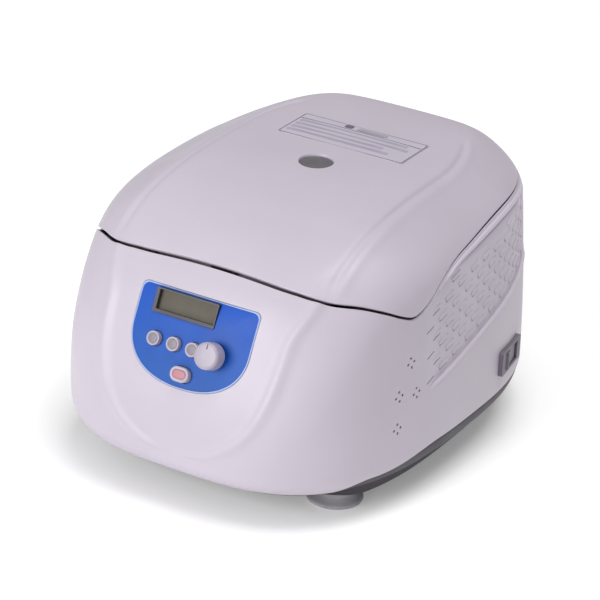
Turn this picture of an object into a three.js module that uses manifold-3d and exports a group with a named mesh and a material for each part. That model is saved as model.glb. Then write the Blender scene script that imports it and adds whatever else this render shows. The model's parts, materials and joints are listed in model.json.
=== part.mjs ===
// Bench-top laboratory centrifuge, in millimetres, +Z up, front towards -Y, right side towards +X.
// Origin: centre of the footprint, on the bench surface that the rubber feet stand on.
import * as THREE from 'three';
import Module from 'manifold-3d';
import { mergeVertices } from 'three/addons/utils/BufferGeometryUtils.js';

const wasm = await Module();
wasm.setup();

// ---------------------------------------------------------------- driving dimensions
const GAP = 0.3;                    // clearance between neighbouring pieces
const WALL = 3;                     // moulded wall thickness
const LID_CLEARANCE = 1.4;          // between the lid's inner skin and what is fixed under it
const HALF_WIDTH = 150;             // widest half-width of the housing
const BODY_BOTTOM = 23;             // lower edge of the light housing
const BOTTOM_ROUNDING = 23.3;       // how far the housing tucks in towards its lower edge
const PLAN_CENTRE = 20.2;           // y of the widest place
const CREASE_SOFTNESS = 6.4;        // blend where the lid plateau meets the sides
const BEVEL_SOFTNESS = 18.8;        // blend where the lid bevel meets the sides
const FRONT_SEAM_GAP = 2.4;         // slit between lid and body across the front
const SIDE_SEAM_GAP = 0.6;          // and along the sides
const REAR_BODY_EDGE = 181;         // the slit opens at the rear, to let the lid swing
const REAR_LID_EDGE = 186;
const ANGLE_STEPS = 60;             // facets around the housing
const CORE = new THREE.Vector3(0, 20, 100);   // inner point that the skin is found from

const AXIS_Y = 7;                   // rotor axis
const DECK_TOP = 148;
const DECK_THICK = 3;
const CHAMBER_HOLE = 119.5;         // radius of the hole in the deck
const TRAY_BOTTOM = 11.5;
const TRAY_FLOOR = 14;
const TRAY_FLANGE = 20.5;           // underside of the rim that the housing stands on
const PAN_INSET = 17;               // how far the tray's pan stands back from that rim at the front
const SKIRT_START = [30, 44];       // angles between which the tray's skirt appears
const CORNER_RISE = 10.4;           // how far it climbs the housing there
const SKIRT_END = 66;               // angle where it is at its full height
const SIDE_RISE = 6;                // how much more it climbs by then
const FOOT_RADIUS = 22;
const FOOT_X = 92;
const FOOT_FRONT_Y = -101;
const FOOT_REAR_Y = 112;

const HINGE_Y = 161.5;
const HINGE_Z = 190;
const HINGE_X = 46;

const PANEL_ORIGIN = new THREE.Vector3(0, -171.3, 126);
const PANEL_TILT = THREE.MathUtils.degToRad(24);
const BUTTON_X = [-28, -11, 5.5];
const BUTTON_RADIUS = 5.4;
const KNOB_X = 23.5;
const KNOB_RADIUS = 10.3;
const STOP_UP = -20;
const LCD = { x: -9.5, up: 28, width: 54, height: 19 };

const SWITCH = { x: 147.2, y: 67.5, z: 67.5, turn: THREE.MathUtils.degToRad(8.5), length: 42, height: 20 };
const INLET = { x: 0, z: 62 };
const REAR_WALL_Y = 189.2;

// Side view of the housing on its middle plane: front foot, front face, lid crown, rear wall.
const PROFILE = [
  [-189.5, 23], [-190.4, 50], [-188, 72], [-183.2, 90], [-178.1, 106], [-171.3, 126], [-164.3, 143],
  [-157, 156], [-148.8, 166], [-138.6, 175], [-126.2, 184], [-109.3, 193], [-86, 201.8], [-58, 208.4],
  [-20, 212.7], [30, 214.2], [90, 214.2], [135, 212.6], [157, 209], [171, 199.5], [180.5, 182],
  [186, 160], [190, 120], [190.8, 70], [190.5, 23],
];
const PROFILE_STEPS = 90;
const BOW_DISTANCE = 115.7;         // the crown falls by these bows at this distance from the middle
const CROWN_BOW = 3.2;
const FACE_BOW = 5.4;

// Height of the slit between lid and body, by angle in degrees from the front.
const SEAM = [
  [0, 178], [23, 175.4], [33, 171], [40, 168.3], [46, 163], [51, 156.2], [54, 153.2], [56.5, 154.6],
  [61, 162], [65, 171], [72, 179], [82, 183.3], [105, 188], [125, 189.3], [180, 189.5],
];
const REAR_OPENING = [136, 150];    // angles between which the slit opens for the hinge

// ---------------------------------------------------------------- the outer skin as a formula
const profileCurve = new THREE.SplineCurve(PROFILE.map(([y, z]) => new THREE.Vector2(y, z)));
const profilePlanes = [];
for (let i = 0; i <= PROFILE_STEPS; i += 1) {
  const point = profileCurve.getPoint(i / PROFILE_STEPS);
  const tangent = profileCurve.getTangent(i / PROFILE_STEPS);
  profilePlanes.push({ y: point.x, z: point.y, ny: -tangent.y, nz: tangent.x });
}

function smoothMax(a, b, softness) {
  const overlap = Math.max(softness - Math.abs(a - b), 0) / softness;
  return Math.max(a, b) + overlap * overlap * softness / 4;
}

function smoothStep(value) {
  const t = THREE.MathUtils.clamp(value, 0, 1);
  return t * t * (3 - 2 * t);
}

// Distance outside a superellipse with half-axes a and b, to first order.
function superellipse(x, y, a, b, power) {
  const u = Math.max(Math.abs(x) / a, 1e-6);
  const v = Math.max(Math.abs(y) / b, 1e-6);
  const g = (u ** power + v ** power) ** (1 / power);
  const slopeX = g ** (1 - power) * u ** (power - 1) / a;
  const slopeY = g ** (1 - power) * v ** (power - 1) / b;
  return (g - 1) / Math.hypot(slopeX, slopeY);
}

// The barrel-shaped side wall, seen in plan at height z.
function sideWall(x, y, z) {
  const side = HALF_WIDTH - 3.8 * ((z - 27) / 107) ** 2;
  const bulge = z < 85 ? 21.1 : 55;
  const front = 212.3 - bulge * ((z - 85) / 107) ** 2;
  const rear = 173 - 0.055 * z;
  const along = y - PLAN_CENTRE;
  return along < 0 ? superellipse(x, along, side, front, 2.92) : superellipse(x, along, side, rear, 2.47);
}

// The bevel that slopes from the lid plateau down to the sides.
function lidBevel(x, y, z) {
  const drop = 211.6 - z;
  const side = 88.9 + 1.88 * drop;
  const along = y - PLAN_CENTRE;
  if (along < 0) {
    return superellipse(x, along, side, 158 + 0.39 * drop, 2.31);
  }
  return superellipse(x, along, side, 140.7 + 0.89 * drop, 3.58);
}

// The front face and lid crown: the side-view profile swept across the width with a slight bow.
function crown(x, y, z) {
  let distance = -Infinity;
  for (const plane of profilePlanes) {
    distance = Math.max(distance, (y - plane.y) * plane.ny + (z - plane.z) * plane.nz);
  }
  const bow = CROWN_BOW + FACE_BOW * smoothStep((192 - z) / 43);
  return distance + bow * (x / BOW_DISTANCE) ** 2;
}

// Negative inside the housing, zero on its skin.
function housing(x, y, z) {
  const sides = smoothMax(sideWall(x, y, z), lidBevel(x, y, z), BEVEL_SOFTNESS);
  const skin = smoothMax(sides, crown(x, y, z), CREASE_SOFTNESS);
  return smoothMax(skin, BODY_BOTTOM - z, BOTTOM_ROUNDING);
}

function skinNormal(point) {
  const step = 0.5;
  const { x, y, z } = point;
  return new THREE.Vector3(
    housing(x + step, y, z) - housing(x - step, y, z),
    housing(x, y + step, z) - housing(x, y - step, z),
    housing(x, y, z + step) - housing(x, y, z - step),
  ).normalize();
}

function bisect(inside, outside, isOutside) {
  let low = inside;
  let high = outside;
  for (let i = 0; i < 30; i += 1) {
    const middle = (low + high) / 2;
    if (isOutside(middle)) high = middle; else low = middle;
  }
  return low;
}

// Skin point at a plan angle (0 is the front, a half turn is the rear) and a height.
function skinAtHeight(angle, z) {
  const dx = Math.sin(angle);
  const dy = -Math.cos(angle);
  const reach = bisect(0, 260, (r) => housing(dx * r, CORE.y + dy * r, z) > 0);
  return new THREE.Vector3(dx * reach, CORE.y + dy * reach, z);
}

// Skin point at a plan angle and an elevation, both seen from the core point.
function skinAtElevation(angle, elevation) {
  const direction = new THREE.Vector3(Math.sin(angle), -Math.cos(angle), 0);
  direction.multiplyScalar(Math.cos(elevation));
  direction.z = Math.sin(elevation);
  const at = (r) => CORE.clone().addScaledVector(direction, r);
  const reach = bisect(0, 260, (r) => {
    const p = at(r);
    return housing(p.x, p.y, p.z) > 0;
  });
  return at(reach);
}

// Smooth curve through the SEAM points.
function seamHeight(angle) {
  const degrees = Math.min(Math.abs(THREE.MathUtils.radToDeg(angle)), 180);
  let i = SEAM.findIndex(([a]) => a > degrees) - 1;
  if (i < 0) i = SEAM.length - 2;
  const slopeAt = (k) => {
    const before = SEAM[Math.max(k - 1, 0)];
    const after = SEAM[Math.min(k + 1, SEAM.length - 1)];
    return k === 0 || k === SEAM.length - 1 ? 0 : (after[1] - before[1]) / (after[0] - before[0]);
  };
  const span = SEAM[i + 1][0] - SEAM[i][0];
  const t = (degrees - SEAM[i][0]) / span;
  const rise = t * t * (3 - 2 * t);
  return SEAM[i][1] * (1 - rise) + SEAM[i + 1][1] * rise
    + span * (slopeAt(i) * t * (1 - t) ** 2 - slopeAt(i + 1) * t * t * (1 - t));
}

function rearShare(angle) {
  const degrees = Math.abs(THREE.MathUtils.radToDeg(angle));
  return smoothStep((degrees - REAR_OPENING[0]) / (REAR_OPENING[1] - REAR_OPENING[0]));
}

// Half the width of the slit, which narrows behind the hooks at its front corners.
function halfGap(angle) {
  const degrees = Math.abs(THREE.MathUtils.radToDeg(angle));
  return THREE.MathUtils.lerp(SIDE_SEAM_GAP, FRONT_SEAM_GAP, smoothStep((60 - degrees) / 5)) / 2;
}

function bodyEdge(angle) {
  return THREE.MathUtils.lerp(seamHeight(angle) - halfGap(angle), REAR_BODY_EDGE, rearShare(angle));
}

function lidEdge(angle) {
  return THREE.MathUtils.lerp(seamHeight(angle) + halfGap(angle), REAR_LID_EDGE, rearShare(angle));
}

// 0 across the front, 1 along the sides and the rear, where the tray's skirt shows.
function skirtShare(angle) {
  const degrees = Math.abs(THREE.MathUtils.radToDeg(angle));
  return smoothStep((degrees - SKIRT_START[0]) / (SKIRT_START[1] - SKIRT_START[0]));
}

// Height of the housing's lower edge.
function bodyFoot(angle) {
  const degrees = Math.abs(THREE.MathUtils.radToDeg(angle));
  const further = smoothStep((degrees - SKIRT_START[1]) / (SKIRT_END - SKIRT_START[1]));
  return BODY_BOTTOM + 0.6 + CORNER_RISE * skirtShare(angle) + SIDE_RISE * further;
}

// ---------------------------------------------------------------- mesh helpers
const MERGE_DISTANCE = 1e-4;
const SMALLEST_EDGE = 0.005;

function closedMesh(points, faces) {
  const geometry = new THREE.BufferGeometry();
  geometry.setAttribute('position', new THREE.Float32BufferAttribute(points.flatMap((p) => p.toArray()), 3));
  geometry.setIndex(faces.flat());
  return outward(geometry);
}

function signedVolume(geometry) {
  const position = geometry.getAttribute('position');
  const index = geometry.getIndex();
  const corner = [new THREE.Vector3(), new THREE.Vector3(), new THREE.Vector3()];
  let volume = 0;
  for (let i = 0; i < index.count; i += 3) {
    for (let k = 0; k < 3; k += 1) corner[k].fromBufferAttribute(position, index.getX(i + k));
    volume += corner[0].dot(corner[1].clone().cross(corner[2])) / 6;
  }
  return volume;
}

// Turns every face round if the closed mesh is inside out.
function outward(geometry) {
  if (signedVolume(geometry) < 0) {
    const index = geometry.getIndex().array;
    for (let i = 0; i < index.length; i += 3) [index[i], index[i + 1]] = [index[i + 1], index[i]];
  }
  return geometry;
}

// Positions and faces only, with shared corners merged and faces of no area dropped.
function bare(geometry) {
  const copy = geometry.clone();
  copy.deleteAttribute('normal');
  copy.deleteAttribute('uv');
  const merged = mergeVertices(copy, MERGE_DISTANCE);
  const index = merged.getIndex().array;
  const kept = [];
  for (let i = 0; i < index.length; i += 3) {
    const [a, b, c] = [index[i], index[i + 1], index[i + 2]];
    if (a !== b && b !== c && c !== a) kept.push(a, b, c);
  }
  merged.setIndex(kept);
  return outward(merged);
}

function toSolid(geometry) {
  const clean = bare(geometry);
  return new wasm.Manifold(new wasm.Mesh({
    numProp: 3,
    vertProperties: new Float32Array(clean.getAttribute('position').array),
    triVerts: new Uint32Array(clean.getIndex().array),
  }));
}

function fromSolid(solid) {
  const mesh = solid.simplify(SMALLEST_EDGE).getMesh();
  const geometry = new THREE.BufferGeometry();
  geometry.setAttribute('position', new THREE.Float32BufferAttribute(mesh.vertProperties, 3));
  geometry.setIndex(Array.from(mesh.triVerts));
  return geometry;
}

function join(first, ...others) {
  return fromSolid(others.reduce((sum, part) => sum.add(toSolid(part)), toSolid(first)));
}

function cut(first, ...others) {
  return fromSolid(others.reduce((rest, part) => rest.subtract(toSolid(part)), toSolid(first)));
}

function common(first, second) {
  return fromSolid(toSolid(first).intersect(toSolid(second)));
}

function box(lowX, highX, lowY, highY, lowZ, highZ) {
  const geometry = new THREE.BoxGeometry(highX - lowX, highY - lowY, highZ - lowZ);
  return geometry.translate((lowX + highX) / 2, (lowY + highY) / 2, (lowZ + highZ) / 2);
}

// Solid turned about the Z axis from [radius, height] points.
function turned(outline, sides = 40) {
  const points = outline.map(([r, z]) => new THREE.Vector2(r, z));
  return bare(new THREE.LatheGeometry(points, sides).rotateX(Math.PI / 2));
}

function disc(radius, lowZ, highZ, sides = 40) {
  return turned([[0, lowZ], [radius, lowZ], [radius, highZ], [0, highZ]], sides);
}

function ring(inner, outer, lowZ, highZ, sides = 40) {
  return turned([[inner, lowZ], [outer, lowZ], [outer, highZ], [inner, highZ], [inner, lowZ]], sides);
}

// The same along the X axis, centred on the hinge line.
function alongHinge(geometry) {
  return geometry.rotateY(Math.PI / 2).translate(0, HINGE_Y, HINGE_Z);
}

// Places a solid made in panel space: x across, y up the panel, z out of the face.
function onPanel(geometry) {
  const up = new THREE.Vector3(0, Math.sin(PANEL_TILT), Math.cos(PANEL_TILT));
  const out = new THREE.Vector3(0, -Math.cos(PANEL_TILT), Math.sin(PANEL_TILT));
  const placing = new THREE.Matrix4().makeBasis(new THREE.Vector3(1, 0, 0), up, out);
  placing.setPosition(PANEL_ORIGIN);
  return geometry.applyMatrix4(placing);
}

// Places a solid made in switch space: x along the wall, y up, z out of the wall.
function onSwitchWall(geometry) {
  const along = new THREE.Vector3(-Math.sin(SWITCH.turn), Math.cos(SWITCH.turn), 0);
  const out = new THREE.Vector3(Math.cos(SWITCH.turn), Math.sin(SWITCH.turn), 0);
  const placing = new THREE.Matrix4().makeBasis(along, new THREE.Vector3(0, 0, 1), out);
  placing.setPosition(SWITCH.x, SWITCH.y, SWITCH.z);
  return geometry.applyMatrix4(placing);
}

function roundedRectangle(width, height, radius) {
  const shape = new THREE.Shape();
  const x = width / 2;
  const y = height / 2;
  shape.moveTo(radius - x, -y);
  shape.lineTo(x - radius, -y);
  shape.absarc(x - radius, radius - y, radius, -Math.PI / 2, 0);
  shape.lineTo(x, y - radius);
  shape.absarc(x - radius, y - radius, radius, 0, Math.PI / 2);
  shape.lineTo(radius - x, y);
  shape.absarc(radius - x, y - radius, radius, Math.PI / 2, Math.PI);
  shape.lineTo(-x, radius - y);
  shape.absarc(radius - x, radius - y, radius, Math.PI, Math.PI * 1.5);
  return shape;
}

function extruded(shape, low, high, curveSegments = 4) {
  const options = { depth: high - low, bevelEnabled: false, curveSegments };
  return bare(new THREE.ExtrudeGeometry(shape, options).translate(0, 0, low));
}

// Closed skin between two stacks of rings: the outer stack upwards, then the inner stack downwards.
function shellFromRings(rings) {
  const count = rings[0].length;
  const faces = [];
  for (let r = 0; r < rings.length; r += 1) {
    const next = (r + 1) % rings.length;
    for (let i = 0; i < count; i += 1) {
      const j = (i + 1) % count;
      faces.push([r * count + i, r * count + j, next * count + j]);
      faces.push([r * count + i, next * count + j, next * count + i]);
    }
  }
  return closedMesh(rings.flat(), faces);
}

// Closed solid from a stack of rings with a fan over each end.
function solidFromRings(rings, lowCentre, highCentre) {
  const count = rings[0].length;
  const faces = [];
  for (let r = 0; r + 1 < rings.length; r += 1) {
    for (let i = 0; i < count; i += 1) {
      const j = (i + 1) % count;
      faces.push([r * count + i, r * count + j, (r + 1) * count + j]);
      faces.push([r * count + i, (r + 1) * count + j, (r + 1) * count + i]);
    }
  }
  const low = rings.length * count;
  const last = (rings.length - 1) * count;
  for (let i = 0; i < count; i += 1) {
    const j = (i + 1) % count;
    faces.push([low, j, i], [low + 1, last + i, last + j]);
  }
  return closedMesh([...rings.flat(), lowCentre, highCentre], faces);
}

const ANGLES = Array.from({ length: ANGLE_STEPS }, (_, i) => -Math.PI + (i * 2 * Math.PI) / ANGLE_STEPS);

function bodyRings(levels, drop, offset) {
  return levels.map((share) => ANGLES.map((angle) => {
    const top = bodyEdge(angle) - drop;
    const point = skinAtHeight(angle, THREE.MathUtils.lerp(bodyFoot(angle), top, share));
    return point.addScaledVector(skinNormal(point), offset);
  }));
}

function lidRings(levels, offset) {
  return levels.map((share) => ANGLES.map((angle) => {
    const edge = skinAtHeight(angle, lidEdge(angle));
    const start = Math.atan2(edge.z - CORE.z, Math.hypot(edge.x, edge.y - CORE.y));
    const elevation = THREE.MathUtils.lerp(start, Math.PI / 2, share);
    const point = share === 0 ? edge : skinAtElevation(angle, elevation);
    return point.addScaledVector(skinNormal(point), offset);
  }));
}

const BODY_LEVELS = [0, 0.03, 0.08, 0.18, 0.36, 0.54, 0.68, 0.8, 0.9, 1];
const LID_LEVELS = [0, 0.06, 0.14, 0.24, 0.36, 0.48, 0.62, 0.8];

function poleAt(offset) {
  const top = skinAtElevation(0, Math.PI / 2);
  return top.addScaledVector(skinNormal(top), offset);
}

// The space inside the closed housing, grown or shrunk by an offset.
function housingSolid(offset) {
  const rings = [...bodyRings(BODY_LEVELS, 0, offset), ...lidRings(LID_LEVELS, offset)];
  return solidFromRings(rings, new THREE.Vector3(0, CORE.y, BODY_BOTTOM), poleAt(offset));
}

// The space inside the body alone, under a cap that stays below the slit.
function bodySolid(offset, drop) {
  const rings = bodyRings(BODY_LEVELS, drop, offset);
  return solidFromRings(
    rings,
    new THREE.Vector3(0, CORE.y, BODY_BOTTOM),
    new THREE.Vector3(0, CORE.y, REAR_BODY_EDGE - drop),
  );
}

// ---------------------------------------------------------------- control panel
const PANEL = { halfWidth: 50.8, topUp: 39.5, waistUp: 9, bottomUp: -31, cornerRadius: 5, power: 2.3 };

// Half-shield outline: straight top, sides drawn in slightly, round bottom.
function panelShape(grow) {
  const shape = new THREE.Shape();
  const width = PANEL.halfWidth + grow;
  const top = PANEL.topUp + grow;
  const depth = PANEL.waistUp - PANEL.bottomUp + grow;
  const radius = PANEL.cornerRadius;
  shape.moveTo(radius - width, top);
  shape.absarc(radius - width, top - radius, radius, Math.PI / 2, Math.PI);
  const steps = 16;
  for (let i = 0; i <= steps; i += 1) {
    const turn = Math.PI + (Math.PI * i) / steps;
    const across = Math.sign(Math.cos(turn)) * Math.abs(Math.cos(turn)) ** (2 / PANEL.power);
    const down = Math.abs(Math.sin(turn)) ** (2 / PANEL.power);
    shape.lineTo(across * width, PANEL.waistUp - down * depth);
  }
  shape.lineTo(width, top - radius);
  shape.absarc(width - radius, top - radius, radius, 0, Math.PI / 2);
  return shape;
}

function panelPost(radius, x, up, low, high, sides = 20) {
  return disc(radius, low, high, sides).translate(x, up, 0);
}

function controlPanel() {
  const block = onPanel(extruded(panelShape(0), -14, 6, 3));
  const skin = cut(common(block, housingSolid(0.9)), housingSolid(-2.2));
  const holes = [
    ...BUTTON_X.map((x) => panelPost(BUTTON_RADIUS + 0.5, x, 0, -14, 8)),
    panelPost(4, KNOB_X, 0, -14, 8),
    extruded(roundedRectangle(17, 12.4, 6.1), -14, 8).translate(0, STOP_UP, 0),
    extruded(roundedRectangle(LCD.width, LCD.height, 1), -14, 8).translate(LCD.x, LCD.up, 0),
  ];
  return cut(skin, ...holes.map(onPanel));
}

function lcdWindow() {
  const plate = extruded(roundedRectangle(LCD.width - 2 * GAP, LCD.height - 2 * GAP, 1), -5.6, -4.4);
  return onPanel(plate.translate(LCD.x, LCD.up, 0));
}

function lcdModule() {
  const halfWidth = LCD.width / 2 + 3;
  const halfHeight = LCD.height / 2 + 2;
  const block = box(-halfWidth, halfWidth, -halfHeight, halfHeight, -10.9, -6.6);
  return onPanel(block.translate(LCD.x, LCD.up, 0));
}

function displayBoard() {
  return onPanel(box(-44, 44, -22, 39, -12.8, -11.2));
}

function roundButton(x) {
  const outline = [
    [0, -10], [3, -10], [3, -6], [BUTTON_RADIUS, -6], [BUTTON_RADIUS, 1.6], [4.4, 2.6], [0, 2.9],
  ];
  return onPanel(turned(outline, 20).translate(x, 0, 0));
}

function stopButton() {
  const cap = extruded(roundedRectangle(16, 11.4, 5.6), -7, 0.6, 6);
  return onPanel(join(cap, disc(3, -10, -6.5, 16)).translate(0, STOP_UP, 0));
}

function controlKnob() {
  const outline = [[0, 1.4], [KNOB_RADIUS, 1.4], [KNOB_RADIUS, 10.5], [8.6, 12.6], [0, 13.4]];
  const mark = box(-0.7, 0.7, 4, KNOB_RADIUS + 1, 9.8, 15);
  return onPanel(cut(turned(outline, 32), mark).translate(KNOB_X, 0, 0));
}

function encoder() {
  return onPanel(join(box(-6, 6, -6, 6, -10.9, -5.4), disc(3, -5.6, 1.1, 16)).translate(KNOB_X, 0, 0));
}

// ---------------------------------------------------------------- housing
function bodyShell() {
  const outer = bodyRings(BODY_LEVELS, 0, 0);
  const inner = bodyRings(BODY_LEVELS, 0, -WALL);
  const wall = shellFromRings([...outer, ...inner.reverse()]);
  const room = bodySolid(-WALL / 2, 2);
  const bulkheadY = -133.5;
  const ledgeTop = 172;
  const thin = 2.5;
  const beyond = 200;               // past the walls on every side; the room trims what is too long
  const plates = join(
    box(-beyond, beyond, bulkheadY, beyond, DECK_TOP - DECK_THICK, DECK_TOP),
    box(-beyond, beyond, bulkheadY, bulkheadY + thin, DECK_TOP - DECK_THICK, ledgeTop),
    box(-beyond, beyond, -beyond, bulkheadY + thin, ledgeTop - thin, ledgeTop),
  );
  const whole = join(wall, common(plates, room));
  const chamber = disc(CHAMBER_HOLE, 140, 160, 48).translate(0, AXIS_Y, 0);
  const latchSlot = box(-11, 11, -130.5, -121.5, 140, 160);
  const panelHole = onPanel(extruded(panelShape(GAP), -16, 12, 3));
  const switchOutline = roundedRectangle(SWITCH.length + 2 * GAP, SWITCH.height + 2 * GAP, 2.3);
  const switchHole = onSwitchWall(extruded(switchOutline, -20, 10));
  const inletHole = box(INLET.x - 14.5, INLET.x + 14.5, 180, 200, INLET.z - 15.5, INLET.z + 15.5);
  return cut(whole, chamber, latchSlot, panelHole, switchHole, inletHole, ...ventSlots());
}

// Short air slots in slanted rows, in both side walls.
function ventSlots() {
  const slots = [];
  for (const side of [-1, 1]) {
    for (let column = 0; column < 5; column += 1) {
      const y = -44 + column * 26;
      for (let row = 0; row < 2; row += 1) {
        const z = 124 + row * 22 + column * 4;
        slots.push(box(...(side > 0 ? [130, 160] : [-160, -130]), y, y + 14, z, z + 4));
      }
    }
  }
  return slots;
}

function lidShell() {
  const outer = lidRings(LID_LEVELS, 0);
  const inner = lidRings(LID_LEVELS, -WALL);
  const count = ANGLE_STEPS;
  const rings = [...outer, ...inner];
  const levels = LID_LEVELS.length;
  const faces = [];
  const strip = (a, b) => {
    for (let i = 0; i < count; i += 1) {
      const j = (i + 1) % count;
      faces.push([a * count + i, a * count + j, b * count + j]);
      faces.push([a * count + i, b * count + j, b * count + i]);
    }
  };
  for (let r = 0; r + 1 < levels; r += 1) {
    strip(r, r + 1);
    strip(levels + r + 1, levels + r);
  }
  strip(levels, 0);
  const pole = rings.length * count;
  for (let i = 0; i < count; i += 1) {
    const j = (i + 1) % count;
    const outerTop = (levels - 1) * count;
    const innerTop = (2 * levels - 1) * count;
    faces.push([pole, outerTop + i, outerTop + j], [pole + 1, innerTop + j, innerTop + i]);
  }
  const shell = closedMesh([...rings.flat(), poleAt(0), poleAt(-WALL)], faces);
  return cut(shell, disc(13.8, 180, 240, 32).translate(0, AXIS_Y, 0));
}

const LINER_RADIUS = 126;
const LINER_BOTTOM = 153;
const LINER_WALL = 2.5;
const SLEEVE_BORE = 14.5;

function lidLiner() {
  const hollow = disc(LINER_RADIUS - LINER_WALL, LINER_BOTTOM + LINER_WALL, 240, 48);
  const cup = cut(disc(LINER_RADIUS, LINER_BOTTOM, 230, 48), hollow);
  const whole = cut(cup, disc(SLEEVE_BORE, 140, 240, 32)).translate(0, AXIS_Y, 0);
  return common(whole, housingSolid(-WALL - LID_CLEARANCE));
}

// Tube that keeps the line of sight open between the liner's floor and the sight glass.
function sightSleeve() {
  const tube = ring(SLEEVE_BORE, SLEEVE_BORE + LINER_WALL, LINER_BOTTOM + LINER_WALL + GAP, 230, 32);
  return common(tube.translate(0, AXIS_Y, 0), housingSolid(-WALL - LID_CLEARANCE));
}

function lidGasket() {
  return ring(118.5, 124.5, DECK_TOP + 1.6, LINER_BOTTOM - GAP, 48).translate(0, AXIS_Y, 0);
}

const GLASS_RADIUS = 12.6;

function sightGlass() {
  return disc(GLASS_RADIUS, 210, 213.4, 32).translate(0, AXIS_Y, 0);
}

function sightGlassRing() {
  const inner = GLASS_RADIUS + GAP;
  const outline = [
    [inner, 208], [13.5, 208], [13.5, 214.8], [16.2, 214.8], [15.6, 215.8], [14, 216], [inner, 214],
    [inner, 208],
  ];
  return turned(outline, 32).translate(0, AXIS_Y, 0);
}

function lidLabel() {
  const film = box(-55.5, 55.5, 41.5, 86, 205, 225);
  return cut(common(film, housingSolid(0.7)), housingSolid(GAP));
}

// ---------------------------------------------------------------- base
// Plan outline of the housing's underside at height z, drawn in by an inset that may vary round it.
function planRing(z, insetAt) {
  return ANGLES.map((angle) => {
    const point = skinAtHeight(angle, BODY_BOTTOM + 0.6);
    const normal = skinNormal(point);
    normal.z = 0;
    return point.addScaledVector(normal.normalize(), -insetAt(angle)).setZ(z);
  });
}

// Part of the skin between the housing's underside and its lower edge, moved in by a depth.
function skirtRing(share, depth) {
  return ANGLES.map((angle) => {
    const low = BODY_BOTTOM + 0.1;
    const high = bodyFoot(angle) - 2 * GAP;
    const point = skinAtHeight(angle, THREE.MathUtils.lerp(low, high, share));
    return point.addScaledVector(skinNormal(point), -depth);
  });
}

// Dark tray: a pan under the machine, a thin rim under the front and a skirt that shows at the sides.
function baseTray() {
  const panInset = (angle) => 2.5 + PAN_INSET * (1 - skirtShare(angle));
  const rings = [
    planRing(TRAY_BOTTOM, (angle) => panInset(angle) + 2),
    planRing(TRAY_BOTTOM + 2, panInset),
    planRing(TRAY_FLANGE - 1, panInset),
    planRing(TRAY_FLANGE, () => 2),
    ...[0.25, 0.5, 0.75, 1].map((share) => skirtRing(share, 0.5)),
    ...[1, 0.75, 0.5].map((share) => skirtRing(share, 2.6)),
    planRing(BODY_BOTTOM, () => 5),
    planRing(TRAY_FLANGE + 2, (angle) => panInset(angle) + 3),
    planRing(TRAY_FLOOR, (angle) => panInset(angle) + 3.4),
  ];
  return solidFromRings(
    rings,
    new THREE.Vector3(0, CORE.y, TRAY_BOTTOM),
    new THREE.Vector3(0, CORE.y, TRAY_FLOOR),
  );
}

function rubberFoot(x, y) {
  const outline = [
    [0, 0], [FOOT_RADIUS - 1, 0], [FOOT_RADIUS, 1.5], [FOOT_RADIUS - 3, 5], [16, 7.5],
    [16, TRAY_BOTTOM - GAP], [0, TRAY_BOTTOM - GAP],
  ];
  return turned(outline, 20).translate(x, y, 0);
}

// ---------------------------------------------------------------- drive
const BOWL_FLOOR = 66;

function chamberBowl() {
  const outline = [
    [20, BOWL_FLOOR], [104, BOWL_FLOOR], [112, BOWL_FLOOR + 8], [117.5, DECK_TOP + GAP],
    [126, DECK_TOP + GAP], [126, DECK_TOP + 1.3], [116.4, DECK_TOP + 1.3], [111, BOWL_FLOOR + 8.6],
    [103.5, BOWL_FLOOR + 1.1], [20, BOWL_FLOOR + 1.1], [20, BOWL_FLOOR],
  ];
  return turned(outline, 48).translate(0, AXIS_Y, 0);
}

function bowlSeal() {
  const outline = [
    [9, 62], [19.6, 62], [19.6, BOWL_FLOOR + 1.5], [24, BOWL_FLOOR + 1.5], [24, 69.5],
    [9, 69.5], [9, 62],
  ];
  return turned(outline, 32).translate(0, AXIS_Y, 0);
}

function guardRing() {
  return ring(122, 124.5, 62, DECK_TOP - DECK_THICK - GAP, 48).translate(0, AXIS_Y, 0);
}

function motorPlate() {
  return ring(44, 88, 44, 47, 40).translate(0, AXIS_Y, 0);
}

function damper(index) {
  const turn = (index * 2 * Math.PI) / 3 + Math.PI / 2;
  const outline = [
    [0, TRAY_FLOOR + GAP], [11, TRAY_FLOOR + GAP], [11, 19], [7.5, 24], [7.5, 34], [11, 39],
    [11, 44 - GAP], [0, 44 - GAP],
  ];
  return turned(outline, 16).translate(Math.cos(turn) * 72, AXIS_Y + Math.sin(turn) * 72, 0);
}

function motor() {
  const outline = [[0, 17], [42, 17], [42, 47.3], [56, 47.3], [56, 50], [18, 50], [16, 60], [0, 60]];
  return turned(outline, 32).translate(0, AXIS_Y, 0);
}

const SHAFT_RADIUS = 5;
const SHAFT_TOP = 136.5;

function motorShaft() {
  return disc(SHAFT_RADIUS, 60 + GAP, SHAFT_TOP, 24).translate(0, AXIS_Y, 0);
}

const ROTOR_TOP = 137;
const TUBE_PLACES = 6;
const TUBE_MOUTH_RADIUS = 47;
const TUBE_BORE = 8.6;
const TUBE_ANGLE = THREE.MathUtils.degToRad(27);
const TUBE_DEPTH = 60;

function tubeBore(index) {
  const bore = disc(TUBE_BORE, -TUBE_DEPTH, 12, 16);
  bore.rotateY(-TUBE_ANGLE).translate(TUBE_MOUTH_RADIUS, 0, ROTOR_TOP);
  return bore.rotateZ((index * 2 * Math.PI) / TUBE_PLACES);
}

function rotor() {
  const shaftHole = SHAFT_RADIUS + GAP;
  const outline = [
    [shaftHole, 78], [60, 78], [88, 72], [95, 78], [95, 86], [66, 134], [61, ROTOR_TOP], [30, ROTOR_TOP],
    [22, 131], [shaftHole, 131], [shaftHole, 78],
  ];
  const bores = Array.from({ length: TUBE_PLACES }, (_, i) => tubeBore(i));
  return cut(turned(outline, 40), ...bores).translate(0, AXIS_Y, 0);
}

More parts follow.
